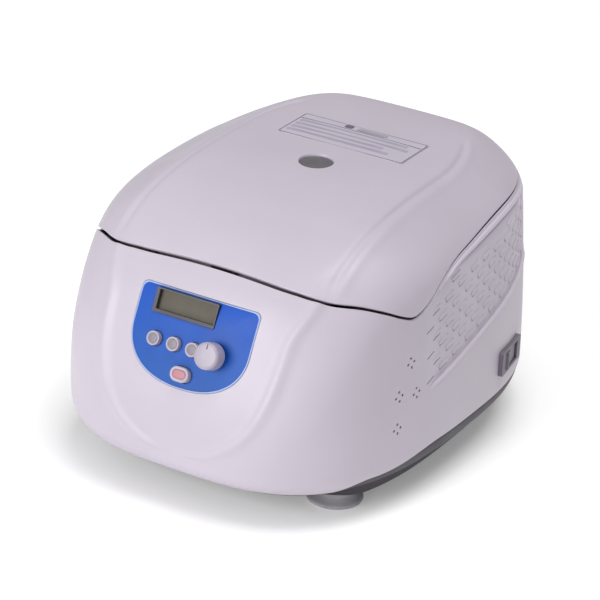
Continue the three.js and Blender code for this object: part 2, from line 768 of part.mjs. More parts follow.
function rotorNut() {
  const hole = SHAFT_RADIUS + GAP;
  const outline = [[0, 144], [12, 144], [15, 140.5], [15, 131.3], [hole, 131.3], [hole, 138], [0, 138]];
  return turned(outline, 24).translate(0, AXIS_Y, 0);
}

// ---------------------------------------------------------------- hinge, spring and latch
const PIN_RADIUS = 2;
const EYE_RADIUS = 4;

function mirrored(geometry, side) {
  return side > 0 ? geometry : bare(geometry.applyMatrix4(new THREE.Matrix4().makeScale(-1, 1, 1)));
}

// Stands up an extrusion whose outline was drawn in y and z, so that its depth runs along x.
function sideways(geometry) {
  const standing = new THREE.Matrix4().makeBasis(
    new THREE.Vector3(0, 1, 0),
    new THREE.Vector3(0, 0, 1),
    new THREE.Vector3(1, 0, 0),
  );
  return geometry.applyMatrix4(standing);
}

// An eye plate for the hinge, spanning lowX to highX.
function hingeEye(plate, lowX, highX) {
  const eye = alongHinge(disc(EYE_RADIUS, lowX, highX, 20));
  const hole = alongHinge(disc(PIN_RADIUS + GAP, lowX - 4, highX + 4, 20));
  return cut(join(plate, eye), hole);
}

// Gooseneck bracket on the deck: it passes in front of the lid's rear edge, which swings below the pin.
function hingeBracket(side) {
  const neck = new THREE.Shape();
  neck.moveTo(HINGE_Y, HINGE_Z + EYE_RADIUS);
  neck.lineTo(HINGE_Y, HINGE_Z - EYE_RADIUS);
  neck.lineTo(HINGE_Y - 13, HINGE_Z - 8);
  neck.lineTo(HINGE_Y - 13, DECK_TOP + GAP);
  neck.lineTo(HINGE_Y - 24, DECK_TOP + GAP);
  neck.lineTo(HINGE_Y - 24, HINGE_Z - 5);
  neck.lineTo(HINGE_Y - 15, HINGE_Z + 2);
  const plate = sideways(extruded(neck, HINGE_X - 4, HINGE_X));
  const foot = box(HINGE_X - 18, HINGE_X, HINGE_Y - 24, HINGE_Y, DECK_TOP + GAP, DECK_TOP + 3);
  return mirrored(hingeEye(join(plate, foot), HINGE_X - 4, HINGE_X), side);
}

// The lid's hinge arm: a bent plate that reaches forward to the underside of the lid.
function hingeArm(side) {
  const arm = new THREE.Shape();
  arm.moveTo(HINGE_Y, HINGE_Z + EYE_RADIUS);
  arm.lineTo(HINGE_Y, HINGE_Z - EYE_RADIUS);
  arm.lineTo(HINGE_Y - 16, HINGE_Z - 2);
  arm.lineTo(HINGE_Y - 35.5, HINGE_Z + 9);
  arm.lineTo(HINGE_Y - 35.5, HINGE_Z + 24);
  arm.lineTo(HINGE_Y - 16, HINGE_Z + 22);
  const plate = sideways(extruded(arm, HINGE_X + 0.6, HINGE_X + 4.6));
  const underLid = common(plate, housingSolid(-WALL - LID_CLEARANCE));
  return mirrored(hingeEye(underLid, HINGE_X + 0.6, HINGE_X + 4.6), side);
}

function hingePin(side) {
  return mirrored(alongHinge(disc(PIN_RADIUS, HINGE_X - 24, HINGE_X + 7, 16)), side);
}

function lidSpring(side) {
  return mirrored(alongHinge(ring(PIN_RADIUS + 0.4, EYE_RADIUS, HINGE_X - 22, HINGE_X - 4.5, 16)), side);
}

function lidStriker() {
  const blade = cut(box(-9, 9, -126, -123, 133, 200), box(-5.5, 5.5, -130, -120, 137.5, 144.5));
  return common(blade, housingSolid(-WALL - LID_CLEARANCE));
}

function latchHousing() {
  return cut(box(-14, 14, -148, -131.5, 128, 144.5), box(-4.6, 4.6, -150, -130, 138.4, 143.6));
}

function latchBolt() {
  return box(-4.2, 4.2, -147, -130, 138.8, 143.2);
}

function latchSolenoid() {
  const coil = disc(7.5, 15, 44, 24).rotateY(Math.PI / 2);
  return coil.translate(0, -140, 136);
}

function lidSwitch() {
  return box(-38, -20, -146, -136, 130, 144.2);
}

// ---------------------------------------------------------------- electrics
function switchFrame() {
  const plate = extruded(roundedRectangle(SWITCH.length, SWITCH.height, 2), -12, 2.2);
  const pocket = box(-13.2, 13.2, -7.6, 7.6, -9, 5);
  return onSwitchWall(cut(plate, pocket));
}

const ROCKER_TILT = THREE.MathUtils.degToRad(8);

function mainsRocker() {
  const rocker = new THREE.Shape();
  rocker.moveTo(-11.6, 1.6);
  rocker.lineTo(-11.6, -1.5);
  rocker.absarc(0, -2, 4.5, Math.PI, Math.PI * 2);
  rocker.lineTo(11.6, -1.5);
  rocker.lineTo(11.6, 1.6);
  rocker.lineTo(0, 0.4);
  const body = extruded(rocker, -7, 7, 6).rotateX(Math.PI / 2);
  return onSwitchWall(body.rotateY(ROCKER_TILT).translate(0, 0, 0.6));
}

function mainsInlet() {
  const flange = extruded(roundedRectangle(46, 36, 3), 0, 2.5);
  const core = box(-14, 14, -15, 15, -22, 0.5);
  const socket = box(-12, 12, -6.5, 10, -17, 5);
  const drawer = box(-11.3, 11.3, -13.3, -8.2, -16, 5);
  const block = cut(join(flange, core), socket, drawer);
  const pins = [[-7, 1], [7, 1], [0, 5]].map(([x, y]) => box(x - 1, x + 1, y - 2, y + 2, -18, -7));
  return rearWall(join(block, ...pins));
}

function fuseDrawer() {
  const body = join(box(-11, 11, -13, -8.5, -15.5, 2.8), box(-4, 4, -12.4, -9.1, 2.5, 3.3));
  return rearWall(body);
}

// Places a solid made in inlet space: x across, y up, z out of the rear wall.
function rearWall(geometry) {
  const placing = new THREE.Matrix4().makeBasis(
    new THREE.Vector3(-1, 0, 0), new THREE.Vector3(0, 0, 1), new THREE.Vector3(0, 1, 0),
  );
  placing.setPosition(INLET.x, REAR_WALL_Y, INLET.z);
  return geometry.applyMatrix4(placing);
}

function driveBoard() {
  return box(-50, 50, 120, 154, 24, 25.6);
}

function heatSink() {
  const base = box(-12, 46, 124, 150, 25.9, 29);
  const fins = Array.from({ length: 6 }, (_, i) => box(i * 10 - 8, i * 10 - 6, 124, 150, 28.5, 52));
  return join(base, ...fins);
}

function boardPost(index) {
  const x = index % 2 ? 45 : -45;
  const y = index < 2 ? 124 : 150;
  return disc(3, TRAY_FLOOR + GAP, 24 - GAP, 12).translate(x, y, 0);
}

// ---------------------------------------------------------------- assembly
const FINISHES = {
  housing: [0xd3cdd4, 0.35, 0],
  tray: [0x3a383c, 0.6, 0],
  rubber: [0x2b2b2e, 0.8, 0],
  panel: [0x1f5fc8, 0.35, 0],
  glass: [0x6c6c62, 0.1, 0],
  button: [0xdcdcdc, 0.4, 0],
  stop: [0xd8a8a4, 0.4, 0],
  board: [0x1f6b45, 0.5, 0],
  steel: [0xb8bcc0, 0.3, 0.9],
  alloy: [0xa4a8ac, 0.35, 0.8],
  dark: [0x222226, 0.5, 0],
  liner: [0xbfbcc2, 0.5, 0],
  label: [0xc9c6cc, 0.5, 0],
};

const group = new THREE.Group();

function add(name, geometry, finish) {
  const [color, roughness, metalness] = FINISHES[finish];
  const material = new THREE.MeshStandardMaterial({ color, roughness, metalness });
  const mesh = new THREE.Mesh(bare(geometry), material);
  mesh.name = name;
  group.add(mesh);
}

add('base_tray', baseTray(), 'tray');
add('foot_front_left', rubberFoot(-FOOT_X, FOOT_FRONT_Y), 'rubber');
add('foot_front_right', rubberFoot(FOOT_X, FOOT_FRONT_Y), 'rubber');
add('foot_rear_left', rubberFoot(-FOOT_X, FOOT_REAR_Y), 'rubber');
add('foot_rear_right', rubberFoot(FOOT_X, FOOT_REAR_Y), 'rubber');
add('body_shell', bodyShell(), 'housing');

add('control_panel', controlPanel(), 'panel');
add('lcd_window', lcdWindow(), 'glass');
add('lcd_module', lcdModule(), 'dark');
add('display_board', displayBoard(), 'board');
add('button_time', roundButton(BUTTON_X[0]), 'button');
add('button_speed', roundButton(BUTTON_X[1]), 'button');
add('button_start', roundButton(BUTTON_X[2]), 'button');
add('button_stop', stopButton(), 'stop');
add('control_knob', controlKnob(), 'button');
add('encoder', encoder(), 'dark');

add('guard_ring', guardRing(), 'steel');
add('chamber_bowl', chamberBowl(), 'steel');
add('bowl_seal', bowlSeal(), 'rubber');
add('motor_plate', motorPlate(), 'steel');
for (let i = 0; i < 3; i += 1) add(`motor_damper_${i + 1}`, damper(i), 'rubber');
add('motor', motor(), 'dark');
add('motor_shaft', motorShaft(), 'steel');
add('rotor', rotor(), 'alloy');
add('rotor_nut', rotorNut(), 'steel');

add('lid_shell', lidShell(), 'housing');
add('lid_liner', lidLiner(), 'liner');
add('sight_sleeve', sightSleeve(), 'liner');
add('lid_gasket', lidGasket(), 'rubber');
add('sight_glass', sightGlass(), 'glass');
add('sight_glass_ring', sightGlassRing(), 'liner');
add('lid_label', lidLabel(), 'label');

for (const [side, word] of [[-1, 'left'], [1, 'right']]) {
  add(`hinge_bracket_${word}`, hingeBracket(side), 'steel');
  add(`hinge_arm_${word}`, hingeArm(side), 'steel');
  add(`hinge_pin_${word}`, hingePin(side), 'steel');
  add(`lid_spring_${word}`, lidSpring(side), 'steel');
}
add('lid_striker', lidStriker(), 'steel');
add('latch_housing', latchHousing(), 'dark');
add('latch_bolt', latchBolt(), 'steel');
add('latch_solenoid', latchSolenoid(), 'steel');
add('lid_switch', lidSwitch(), 'dark');

add('mains_switch_frame', switchFrame(), 'dark');
add('mains_rocker', mainsRocker(), 'dark');
add('mains_inlet', mainsInlet(), 'dark');
add('fuse_drawer', fuseDrawer(), 'dark');
add('drive_board', driveBoard(), 'board');
add('heat_sink', heatSink(), 'alloy');
for (let i = 0; i < 4; i += 1) add(`board_post_${i + 1}`, boardPost(i), 'steel');

export default group;
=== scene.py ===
"""Looks of the bench-top laboratory centrifuge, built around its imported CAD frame.

Lengths are in millimetres until mesh_object() turns them into metres. The origin is the centre of
the footprint on the bench, +Z is up, the control panel faces -Y and the mains switch is at +X.
"""

import json
import math

import bmesh
import bpy
import numpy as np
from mathutils import Matrix, Vector


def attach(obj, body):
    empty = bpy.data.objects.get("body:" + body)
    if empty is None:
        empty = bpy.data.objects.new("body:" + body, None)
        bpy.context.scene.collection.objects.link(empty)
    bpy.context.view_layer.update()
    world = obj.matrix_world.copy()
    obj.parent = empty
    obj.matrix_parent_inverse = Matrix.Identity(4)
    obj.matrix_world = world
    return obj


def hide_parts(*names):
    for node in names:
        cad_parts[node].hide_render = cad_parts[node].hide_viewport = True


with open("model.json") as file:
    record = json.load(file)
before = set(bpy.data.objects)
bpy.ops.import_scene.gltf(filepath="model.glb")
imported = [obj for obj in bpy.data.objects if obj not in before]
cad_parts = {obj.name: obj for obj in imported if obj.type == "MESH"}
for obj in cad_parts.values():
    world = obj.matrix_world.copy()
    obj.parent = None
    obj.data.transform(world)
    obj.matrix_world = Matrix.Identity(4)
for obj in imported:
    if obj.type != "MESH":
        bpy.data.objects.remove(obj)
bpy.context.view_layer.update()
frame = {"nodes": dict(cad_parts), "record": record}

# ------------------------------------------------------------------ driving dimensions
MM = 0.001
WALL = 3.0
HALF_WIDTH = 150.0
BODY_BOTTOM = 23.0
BOTTOM_ROUNDING = 23.3
PLAN_CENTRE = 20.2
CREASE_SOFTNESS = 6.4
BEVEL_SOFTNESS = 18.8
CORE = np.array([0.0, 20.0, 100.0])
AXIS_Y = 7.0

# Side view of the housing on its middle plane, as y and z.
PROFILE = np.array([
    (-189.5, 23), (-190.4, 50), (-188, 72), (-183.2, 90), (-178.1, 106), (-171.3, 126), (-164.3, 143),
    (-157, 156), (-148.8, 166), (-138.6, 175), (-126.2, 184), (-109.3, 193), (-86, 201.8), (-58, 208.4),
    (-20, 212.7), (30, 214.2), (90, 214.2), (135, 212.6), (157, 209), (171, 199.5), (180.5, 182),
    (186, 160), (190, 120), (190.8, 70), (190.5, 23),
], float)
PROFILE_STEPS = 90
BOW_DISTANCE = 115.7
CROWN_BOW = 3.2
FACE_BOW = 5.4

# Height of the slit between lid and body, by angle in degrees from the front.
SEAM = np.array([
    (0, 178), (23, 175.4), (33, 171), (40, 168.3), (46, 163), (51, 156.2), (54, 153.2), (56.5, 154.6),
    (61, 162), (65, 171), (72, 179), (82, 183.3), (105, 188), (125, 189.3), (180, 189.5),
], float)
FRONT_GAP = 2.0                      # width of the slit across the front
SIDE_GAP = 0.6                       # and along the sides
REAR_OPENING = (136, 150)
REAR_BODY_EDGE = 181
REAR_LID_EDGE = 186
EDGE_ROUNDING = 0.7

# The dark tray under the housing: a pan, a thin rim at the front and a skirt at the sides.
TRAY_BOTTOM = 11.5
TRAY_FLOOR = 14.0
TRAY_FLANGE = 20.5
PAN_INSET = 17.0
SKIRT_START = (30, 44)
CORNER_RISE = 12.5
SKIRT_END = 66
SIDE_RISE = 7.5

# Raised edge round the front face, and the valley along each side of the lid's crown.
BIB_HALF_WIDTH = 80.0
BIB_TOP = 172.0
BIB_HEIGHT = 126.0
BIB_RIDGE = 2.2
VALLEY_DEPTH = 1.3

# The recessed field in each side wall, with its louvres.
RECESS_DEPTH = 2.2
RECESS_FRONT = -70.0                 # y where it fades in
RECESS_REAR = 128.0                  # y where it fades out
RIM_HEIGHT = 2.6                     # of the raised rim left above the field
LOUVRE_ROWS = 7
LOUVRE_COLUMNS = 10
LOUVRE_PITCH = 19.0
LOUVRE_LENGTH = 13.0
LOUVRE_WIDTH = 3.4
LOUVRE_SLOPE = math.atan(0.24)
AIR_HOLES = ((-84, 120), (-78, 94), (-97, 97), (-98, 71))     # y and z of the middle of each group of four
AIR_HOLE_RADIUS = 1.2

PANEL_ORIGIN = np.array([0.0, -171.3, 126.0])
PANEL_TILT = math.radians(24)
PANEL_HALF_WIDTH = 50.8
PANEL_TOP = 39.5
PANEL_WAIST = 9.0
PANEL_BOTTOM = -31.0
PANEL_CORNER = 5.0
PANEL_POWER = 2.3
BUTTON_X = {"button_time": -28.0, "button_speed": -11.0, "button_start": 5.5}
KNOB_X = 23.5
STOP_UP = -20.0
LCD_X = -9.5
LCD_UP = 28.0
LCD_WIDTH = 54.0
LCD_HEIGHT = 19.0

DECK_BOTTOM = 145.0
DECK_TOP = 148.0
DECK_HOLE = 119.5
LEDGE_TOP = 172.0
WINDOW_RADIUS = 13.4
RAIL_SECTION = ((-1.5, -1.2), (-1.4, -0.1), (-0.9, 0.7), (0, 1.0), (0.9, 0.7), (1.4, -0.1), (1.5, -1.2))
FOOT_X = 92.0
FOOT_FRONT_Y = -101.0
FOOT_REAR_Y = 112.0

BOWL_FLOOR = 66.0
ROTOR_PLACES = 6
ROTOR_TOP = 137.0
TUBE_CIRCLE = 47.0
TUBE_SLANT = math.radians(27)
TUBE_RADIUS = 8.6

# The camera's direction and roll, then its lens, distance and target.
CAMERA_AZIMUTH = math.radians(29.373)
CAMERA_ELEVATION = math.radians(25.429)
CAMERA_ROLL = math.radians(3.08)
CAMERA_LENS = 182.9
CAMERA_DISTANCE = 2365.8
CAMERA_TARGET = Vector((-0.9, -4.9, 100.5))

TURN_STEPS = 480
HEIGHT_STEPS = 150
INNER_STEPS = 24


# ------------------------------------------------------------------ the outer skin as a formula
def profile_planes():
    """Points and outward normals along the smooth curve through PROFILE."""
    position = np.linspace(0, len(PROFILE) - 1, PROFILE_STEPS + 1)
    start = np.minimum(position.astype(int), len(PROFILE) - 2)
    t = (position - start)[:, None]
    p0 = PROFILE[np.maximum(start - 1, 0)]
    p1 = PROFILE[start]
    p2 = PROFILE[start + 1]
    p3 = PROFILE[np.minimum(start + 2, len(PROFILE) - 1)]
    v0 = (p2 - p0) / 2
    v1 = (p3 - p1) / 2
    cubic = 2 * p1 - 2 * p2 + v0 + v1
    square = 3 * (p2 - p1) - 2 * v0 - v1
    point = cubic * t**3 + square * t**2 + v0 * t + p1
    tangent = 3 * cubic * t**2 + 2 * square * t + v0
    tangent /= np.linalg.norm(tangent, axis=1)[:, None]
    return point, np.stack([-tangent[:, 1], tangent[:, 0]], axis=1)


PLANE_POINTS, PLANE_NORMALS = profile_planes()


def smooth_step(value):
    t = np.clip(value, 0, 1)
    return t * t * (3 - 2 * t)


def smooth_max(a, b, softness):
    overlap = np.maximum(softness - np.abs(a - b), 0) / softness
    return np.maximum(a, b) + overlap * overlap * softness / 4


def superellipse(x, y, a, b, power):
    """First-order distance outside a superellipse with half-axes a and b."""
    u = np.maximum(np.abs(x) / a, 1e-6)
    v = np.maximum(np.abs(y) / b, 1e-6)
    g = (u**power + v**power) ** (1 / power)
    slope_x = g ** (1 - power) * u ** (power - 1) / a
    slope_y = g ** (1 - power) * v ** (power - 1) / b
    return (g - 1) / np.hypot(slope_x, slope_y)


def side_wall(x, y, z):
    side = HALF_WIDTH - 3.8 * ((z - 27) / 107) ** 2
    bulge = np.where(z < 85, 21.1, 55)
    front = 212.3 - bulge * ((z - 85) / 107) ** 2
    rear = 173 - 0.055 * z
    along = y - PLAN_CENTRE
    ahead = superellipse(x, along, side, front, 2.92)
    behind = superellipse(x, along, side, rear, 2.47)
    return np.where(along < 0, ahead, behind)


def lid_bevel(x, y, z):
    drop = 211.6 - z
    side = 88.9 + 1.88 * drop
    along = y - PLAN_CENTRE
    ahead = superellipse(x, along, side, 158 + 0.39 * drop, 2.31)
    behind = superellipse(x, along, side, 140.7 + 0.89 * drop, 3.58)
    return np.where(along < 0, ahead, behind)


def crown(x, y, z):
    distance = np.full(x.shape, -1e9)
    for (py, pz), (ny, nz) in zip(PLANE_POINTS, PLANE_NORMALS):
        distance = np.maximum(distance, (y - py) * ny + (z - pz) * nz)
    bow = CROWN_BOW + FACE_BOW * smooth_step((192 - z) / 43)
    return distance + bow * (x / BOW_DISTANCE) ** 2


def housing(points):
    """Negative inside the housing, zero on its skin."""
    x, y, z = points[:, 0], points[:, 1], points[:, 2]
    sides = smooth_max(side_wall(x, y, z), lid_bevel(x, y, z), BEVEL_SOFTNESS)
    skin = smooth_max(sides, crown(x, y, z), CREASE_SOFTNESS)
    return smooth_max(skin, BODY_BOTTOM - z, BOTTOM_ROUNDING)


def skin_normals(points):
    step = np.eye(3) * 0.4
    slopes = [housing(points + s) - housing(points - s) for s in step]
    normals = np.stack(slopes, axis=1)
    return normals / np.linalg.norm(normals, axis=1)[:, None]


def skin_along(origins, directions, low=0.0, high=260.0, level=0.0):
    """Where rays from the origins pass out through the skin (or through a level set of it)."""
    near = np.full(len(directions), float(low))
    far = np.full(len(directions), float(high))
    for _ in range(24):
        middle = (near + far) / 2
        outside = housing(origins + directions * middle[:, None]) > level
        far = np.where(outside, middle, far)
        near = np.where(outside, near, middle)
    return origins + directions * near[:, None]


def skin_at_height(angles, heights):
    directions = np.stack([np.sin(angles), -np.cos(angles), np.zeros_like(angles)], axis=1)
    origins = np.stack([np.zeros_like(angles), np.full_like(angles, CORE[1]), heights], axis=1)
    return skin_along(origins, directions)


def skin_at_elevation(angles, elevations):
    flat = np.cos(elevations)
    directions = np.stack([np.sin(angles) * flat, -np.cos(angles) * flat, np.sin(elevations)], axis=1)
    return skin_along(np.tile(CORE, (len(angles), 1)), directions)


# ------------------------------------------------------------------ the slit between lid and body
def seam_height(degrees):
    """Smooth curve through the SEAM points."""
    a = SEAM[:, 0]
    h = SEAM[:, 1]
    slopes = np.zeros(len(a))
    slopes[1:-1] = (h[2:] - h[:-2]) / (a[2:] - a[:-2])
    i = np.clip(np.searchsorted(a, degrees, side="right") - 1, 0, len(a) - 2)
    span = a[i + 1] - a[i]
    t = (degrees - a[i]) / span
    rise = t * t * (3 - 2 * t)
    bend = span * (slopes[i] * t * (1 - t) ** 2 - slopes[i + 1] * t * t * (1 - t))
    return h[i] * (1 - rise) + h[i + 1] * rise + bend


def edge_heights(angles, is_lid):
    degrees = np.minimum(np.abs(np.degrees(angles)), 180)
    gap = SIDE_GAP + (FRONT_GAP - SIDE_GAP) * smooth_step((60 - degrees) / 5)
    share = smooth_step((degrees - REAR_OPENING[0]) / (REAR_OPENING[1] - REAR_OPENING[0]))
    if is_lid:
        return (seam_height(degrees) + gap / 2) * (1 - share) + REAR_LID_EDGE * share
    return (seam_height(degrees) - gap / 2) * (1 - share) + REAR_BODY_EDGE * share


def skirt_share(angles):
    """0 across the front, 1 along the sides and rear, where the tray's skirt shows."""
    degrees = np.abs(np.degrees(angles))
    return smooth_step((degrees - SKIRT_START[0]) / (SKIRT_START[1] - SKIRT_START[0]))


def body_foot(angles):
    """Height of the housing's lower edge."""
    further = (np.abs(np.degrees(angles)) - SKIRT_START[1]) / (SKIRT_END - SKIRT_START[1])
    return BODY_BOTTOM + 0.6 + CORNER_RISE * skirt_share(angles) + SIDE_RISE * smooth_step(further)


# ------------------------------------------------------------------ relief on the skin
def plan_degrees(points):
    return np.abs(np.degrees(np.arctan2(points[:, 0], CORE[1] - points[:, 1])))


def recess_lower(y):
    return 92 + 0.235 * (y + 58)


def recess_upper(points):
    return seam_height(plan_degrees(points)) - RIM_HEIGHT


def recess_share(points):
    """1 inside the sunk field of either side wall, 0 outside it, with soft edges."""
    y, z = points[:, 1], points[:, 2]
    share = smooth_step((z - recess_lower(y)) / 2.0) * smooth_step((recess_upper(points) - z) / 1.8)
    share = share * smooth_step((y - RECESS_FRONT) / 26) * smooth_step((RECESS_REAR - y) / 14)
    return share * (np.abs(points[:, 0]) > 100)


def bump_curve(distance, width):
    return np.exp(-((distance / width) ** 2))


def body_relief(points):
    """Raised rim round the front face, and the sunk field in each side."""
    x, y, z = np.abs(points[:, 0]), points[:, 1], points[:, 2]
    depth = np.clip((BIB_TOP - z) / BIB_HEIGHT, 0, 1)
    half = BIB_HALF_WIDTH * (1 - depth**3.2) ** (1 / 2.2) + 9 * smooth_step((z - 140) / 35)
    across = (half - x) / np.sqrt(1 + (2.2 * depth**6) ** 2)
    front = BIB_RIDGE * bump_curve(across - 3, 4.8) * (y < -60) * smooth_step((z - 44) / 8)
    return front - RECESS_DEPTH * recess_share(points)


def lid_relief(points):
    """A soft valley where the crown meets each sloping side, with a faint swell beyond it."""
    x, y = np.abs(points[:, 0]), points[:, 1]
    line = 90.3 - 0.0085 * (y + 90) - 17 * np.clip((y - 40) / 75, 0, 1) ** 2.2
    ends = smooth_step((y + 128) / 14) * smooth_step((122 - y) / 20)
    return ends * (0.6 * bump_curve(x - line - 6, 3.5) - VALLEY_DEPTH * bump_curve(x - line, 2.6))


# ------------------------------------------------------------------ mesh helpers
def mesh_object(name, points, faces, smooth_angle=35.0):
    mesh = bpy.data.meshes.new(name)
    mesh.from_pydata((np.asarray(points, float) * MM).tolist(), [], [list(map(int, f)) for f in faces])
    thing = bpy.data.objects.new(name, mesh)
    bpy.context.scene.collection.objects.link(thing)
    shape = bmesh.new()
    shape.from_mesh(mesh)
    bmesh.ops.recalc_face_normals(shape, faces=shape.faces)
    shape.to_mesh(mesh)
    shape.free()
    shade_smooth(thing, smooth_angle)
    return thing


def shade_smooth(thing, angle=35.0):
    thing.data.polygons.foreach_set("use_smooth", [True] * len(thing.data.polygons))
    if angle < 180:
        thing.data.set_sharp_from_angle(angle=math.radians(angle))


def ring_faces(rows, columns, wrap_rows=False):
    """Quads between stacked closed rings of points."""
    faces = []
    for r in range(rows if wrap_rows else rows - 1):
        below = r * columns
        above = (r + 1) % rows * columns
        for c in range(columns):
            d = (c + 1) % columns
            faces.append((below + c, below + d, above + d, above + c))
    return faces


def fans(rows, columns):
    """Triangles from two end points, listed after the rings, to the first and the last ring."""
    faces = []
    low = rows * columns
    last = (rows - 1) * columns
    for c in range(columns):
        d = (c + 1) % columns
        faces.append((low, d, c))
        faces.append((low + 1, last + c, last + d))
    return faces


def turned(name, outline, steps=96, smooth_angle=35.0):
    """Solid turned about Z. The outline runs from the axis back to the axis, or closes on itself."""
    turn = np.arange(steps) * 2 * math.pi / steps
    closes = outline[0] == outline[-1]
    rings = outline[:-1] if closes else [p for p in outline if p[0] > 0]
    points = [np.stack([r * np.cos(turn), r * np.sin(turn), np.full(steps, z)], axis=1) for r, z in rings]
    faces = ring_faces(len(rings), steps, wrap_rows=closes)
    points = np.concatenate(points)
    if not closes:
        ends = np.array([(0, 0, outline[0][1]), (0, 0, outline[-1][1])], float)
        faces += fans(len(rings), steps)
        points = np.concatenate([points, ends])
    return mesh_object(name, points, faces, smooth_angle)


def rounded(outline, radius, steps=4):
    """The outline with each inner corner replaced by a small arc-like curve."""
    made = [outline[0]]
    for before, corner, after in zip(outline, outline[1:], outline[2:]):
        before, corner, after = (np.array(p, float) for p in (before, corner, after))
        back = (before - corner) / max(np.linalg.norm(before - corner), 1e-9)
        ahead = (after - corner) / max(np.linalg.norm(after - corner), 1e-9)
        reach = min(radius, np.linalg.norm(before - corner) / 2.2, np.linalg.norm(after - corner) / 2.2)
        for t in np.linspace(0, 1, steps + 1):
            made.append(tuple(corner + back * reach * (1 - t) ** 2 + ahead * reach * t**2))
    made.append(outline[-1])
    return made


def block(name, low, high):
    """Rectangular cutter or plate between two corners."""
    corners = [(x, y, z) for z in (low[2], high[2]) for x, y in (
        (low[0], low[1]), (high[0], low[1]), (high[0], high[1]), (low[0], high[1]))]
    faces = [(0, 3, 2, 1), (4, 5, 6, 7)] + [(c, (c + 1) % 4, (c + 1) % 4 + 4, c + 4) for c in range(4)]
    return mesh_object(name, corners, faces)


def prism(name, outline, low, high, layers=((0.0, 0.0),)):
    """Upright prism over a closed outline of (x, y) points, given as (inset, drop) layers at its top."""
    outline = np.array(outline, float)
    inward = np.roll(outline, -1, axis=0) - np.roll(outline, 1, axis=0)
    inward = np.stack([-inward[:, 1], inward[:, 0]], axis=1)
    inward /= np.linalg.norm(inward, axis=1)[:, None]
    rings = [np.column_stack([outline, np.full(len(outline), low)])]
    for inset, drop in layers:
        rings.append(np.column_stack([outline + inward * inset, np.full(len(outline), high - drop)]))
    count = len(outline)
    faces = ring_faces(len(rings), count)
    faces.append(tuple(range(count))[::-1])
    faces.append(tuple(range((len(rings) - 1) * count, len(rings) * count)))
    return mesh_object(name, np.concatenate(rings), faces)


def rounded_rectangle(width, height, radius, steps=8):
    """Counter-clockwise outline centred on the origin."""
    outline = []
    for quarter, (sx, sy) in enumerate(((1, 1), (-1, 1), (-1, -1), (1, -1))):
        for step in range(steps + 1):
            turn = (quarter + step / steps) * math.pi / 2
            x = sx * (width / 2 - radius) + radius * math.cos(turn)
            y = sy * (height / 2 - radius) + radius * math.sin(turn)
            outline.append((x, y))
    return outline


def circle(radius, steps=48):
    turns = np.arange(steps) * 2 * math.pi / steps
    return [(radius * math.cos(t), radius * math.sin(t)) for t in turns]


def place(thing, matrix):
    """Moves a piece's vertices by a matrix in millimetres."""
    scale = Matrix.Diagonal((MM, MM, MM, 1))
    thing.data.transform(scale @ matrix @ scale.inverted())
    return thing


def panel_matrix(x=0.0, up=0.0):
    out = Vector((0, -math.cos(PANEL_TILT), math.sin(PANEL_TILT)))
    rise = Vector((0, math.sin(PANEL_TILT), math.cos(PANEL_TILT)))
    turn = Matrix((Vector((1, 0, 0)), rise, out)).transposed().to_4x4()
    centre = Vector(PANEL_ORIGIN) + Vector((x, 0, 0)) + rise * up
    return Matrix.Translation(centre) @ turn


def carve(thing, cutter, operation="DIFFERENCE"):
    """Boolean with the result kept as the piece's mesh; the cutter is removed."""
    modifier = thing.modifiers.new("carve", "BOOLEAN")
    modifier.operation = operation
    modifier.solver = "EXACT"
    modifier.object = cutter
    graph = bpy.context.evaluated_depsgraph_get()
    old = thing.data
    thing.data = bpy.data.meshes.new_from_object(thing.evaluated_get(graph))
    thing.modifiers.clear()
    thing.data.name = thing.name
    bpy.data.meshes.remove(old)
    bpy.data.objects.remove(cutter)
    shade_smooth(thing)
    return thing


def merged(name, things):
    """One object from several separate closed pieces."""
    shape = bmesh.new()
    for thing in things:
        shape.from_mesh(thing.data)
        bpy.data.objects.remove(thing)
    mesh = bpy.data.meshes.new(name)
    shape.to_mesh(mesh)
    shape.free()
    whole = bpy.data.objects.new(name, mesh)
    bpy.context.scene.collection.objects.link(whole)
    return whole


def bevelled(thing, width, segments=3):
    modifier = thing.modifiers.new("soft edges", "BEVEL")
    modifier.width = width * MM
    modifier.segments = segments
    modifier.limit_method = "ANGLE"
    modifier.angle_limit = math.radians(40)
    return thing


def finish_piece(thing, material, body, slot, *nodes):
    thing.data.materials.clear()
    thing.data.materials.append(material)
    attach(thing, body)
    if nodes:
        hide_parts(*nodes)
    return thing


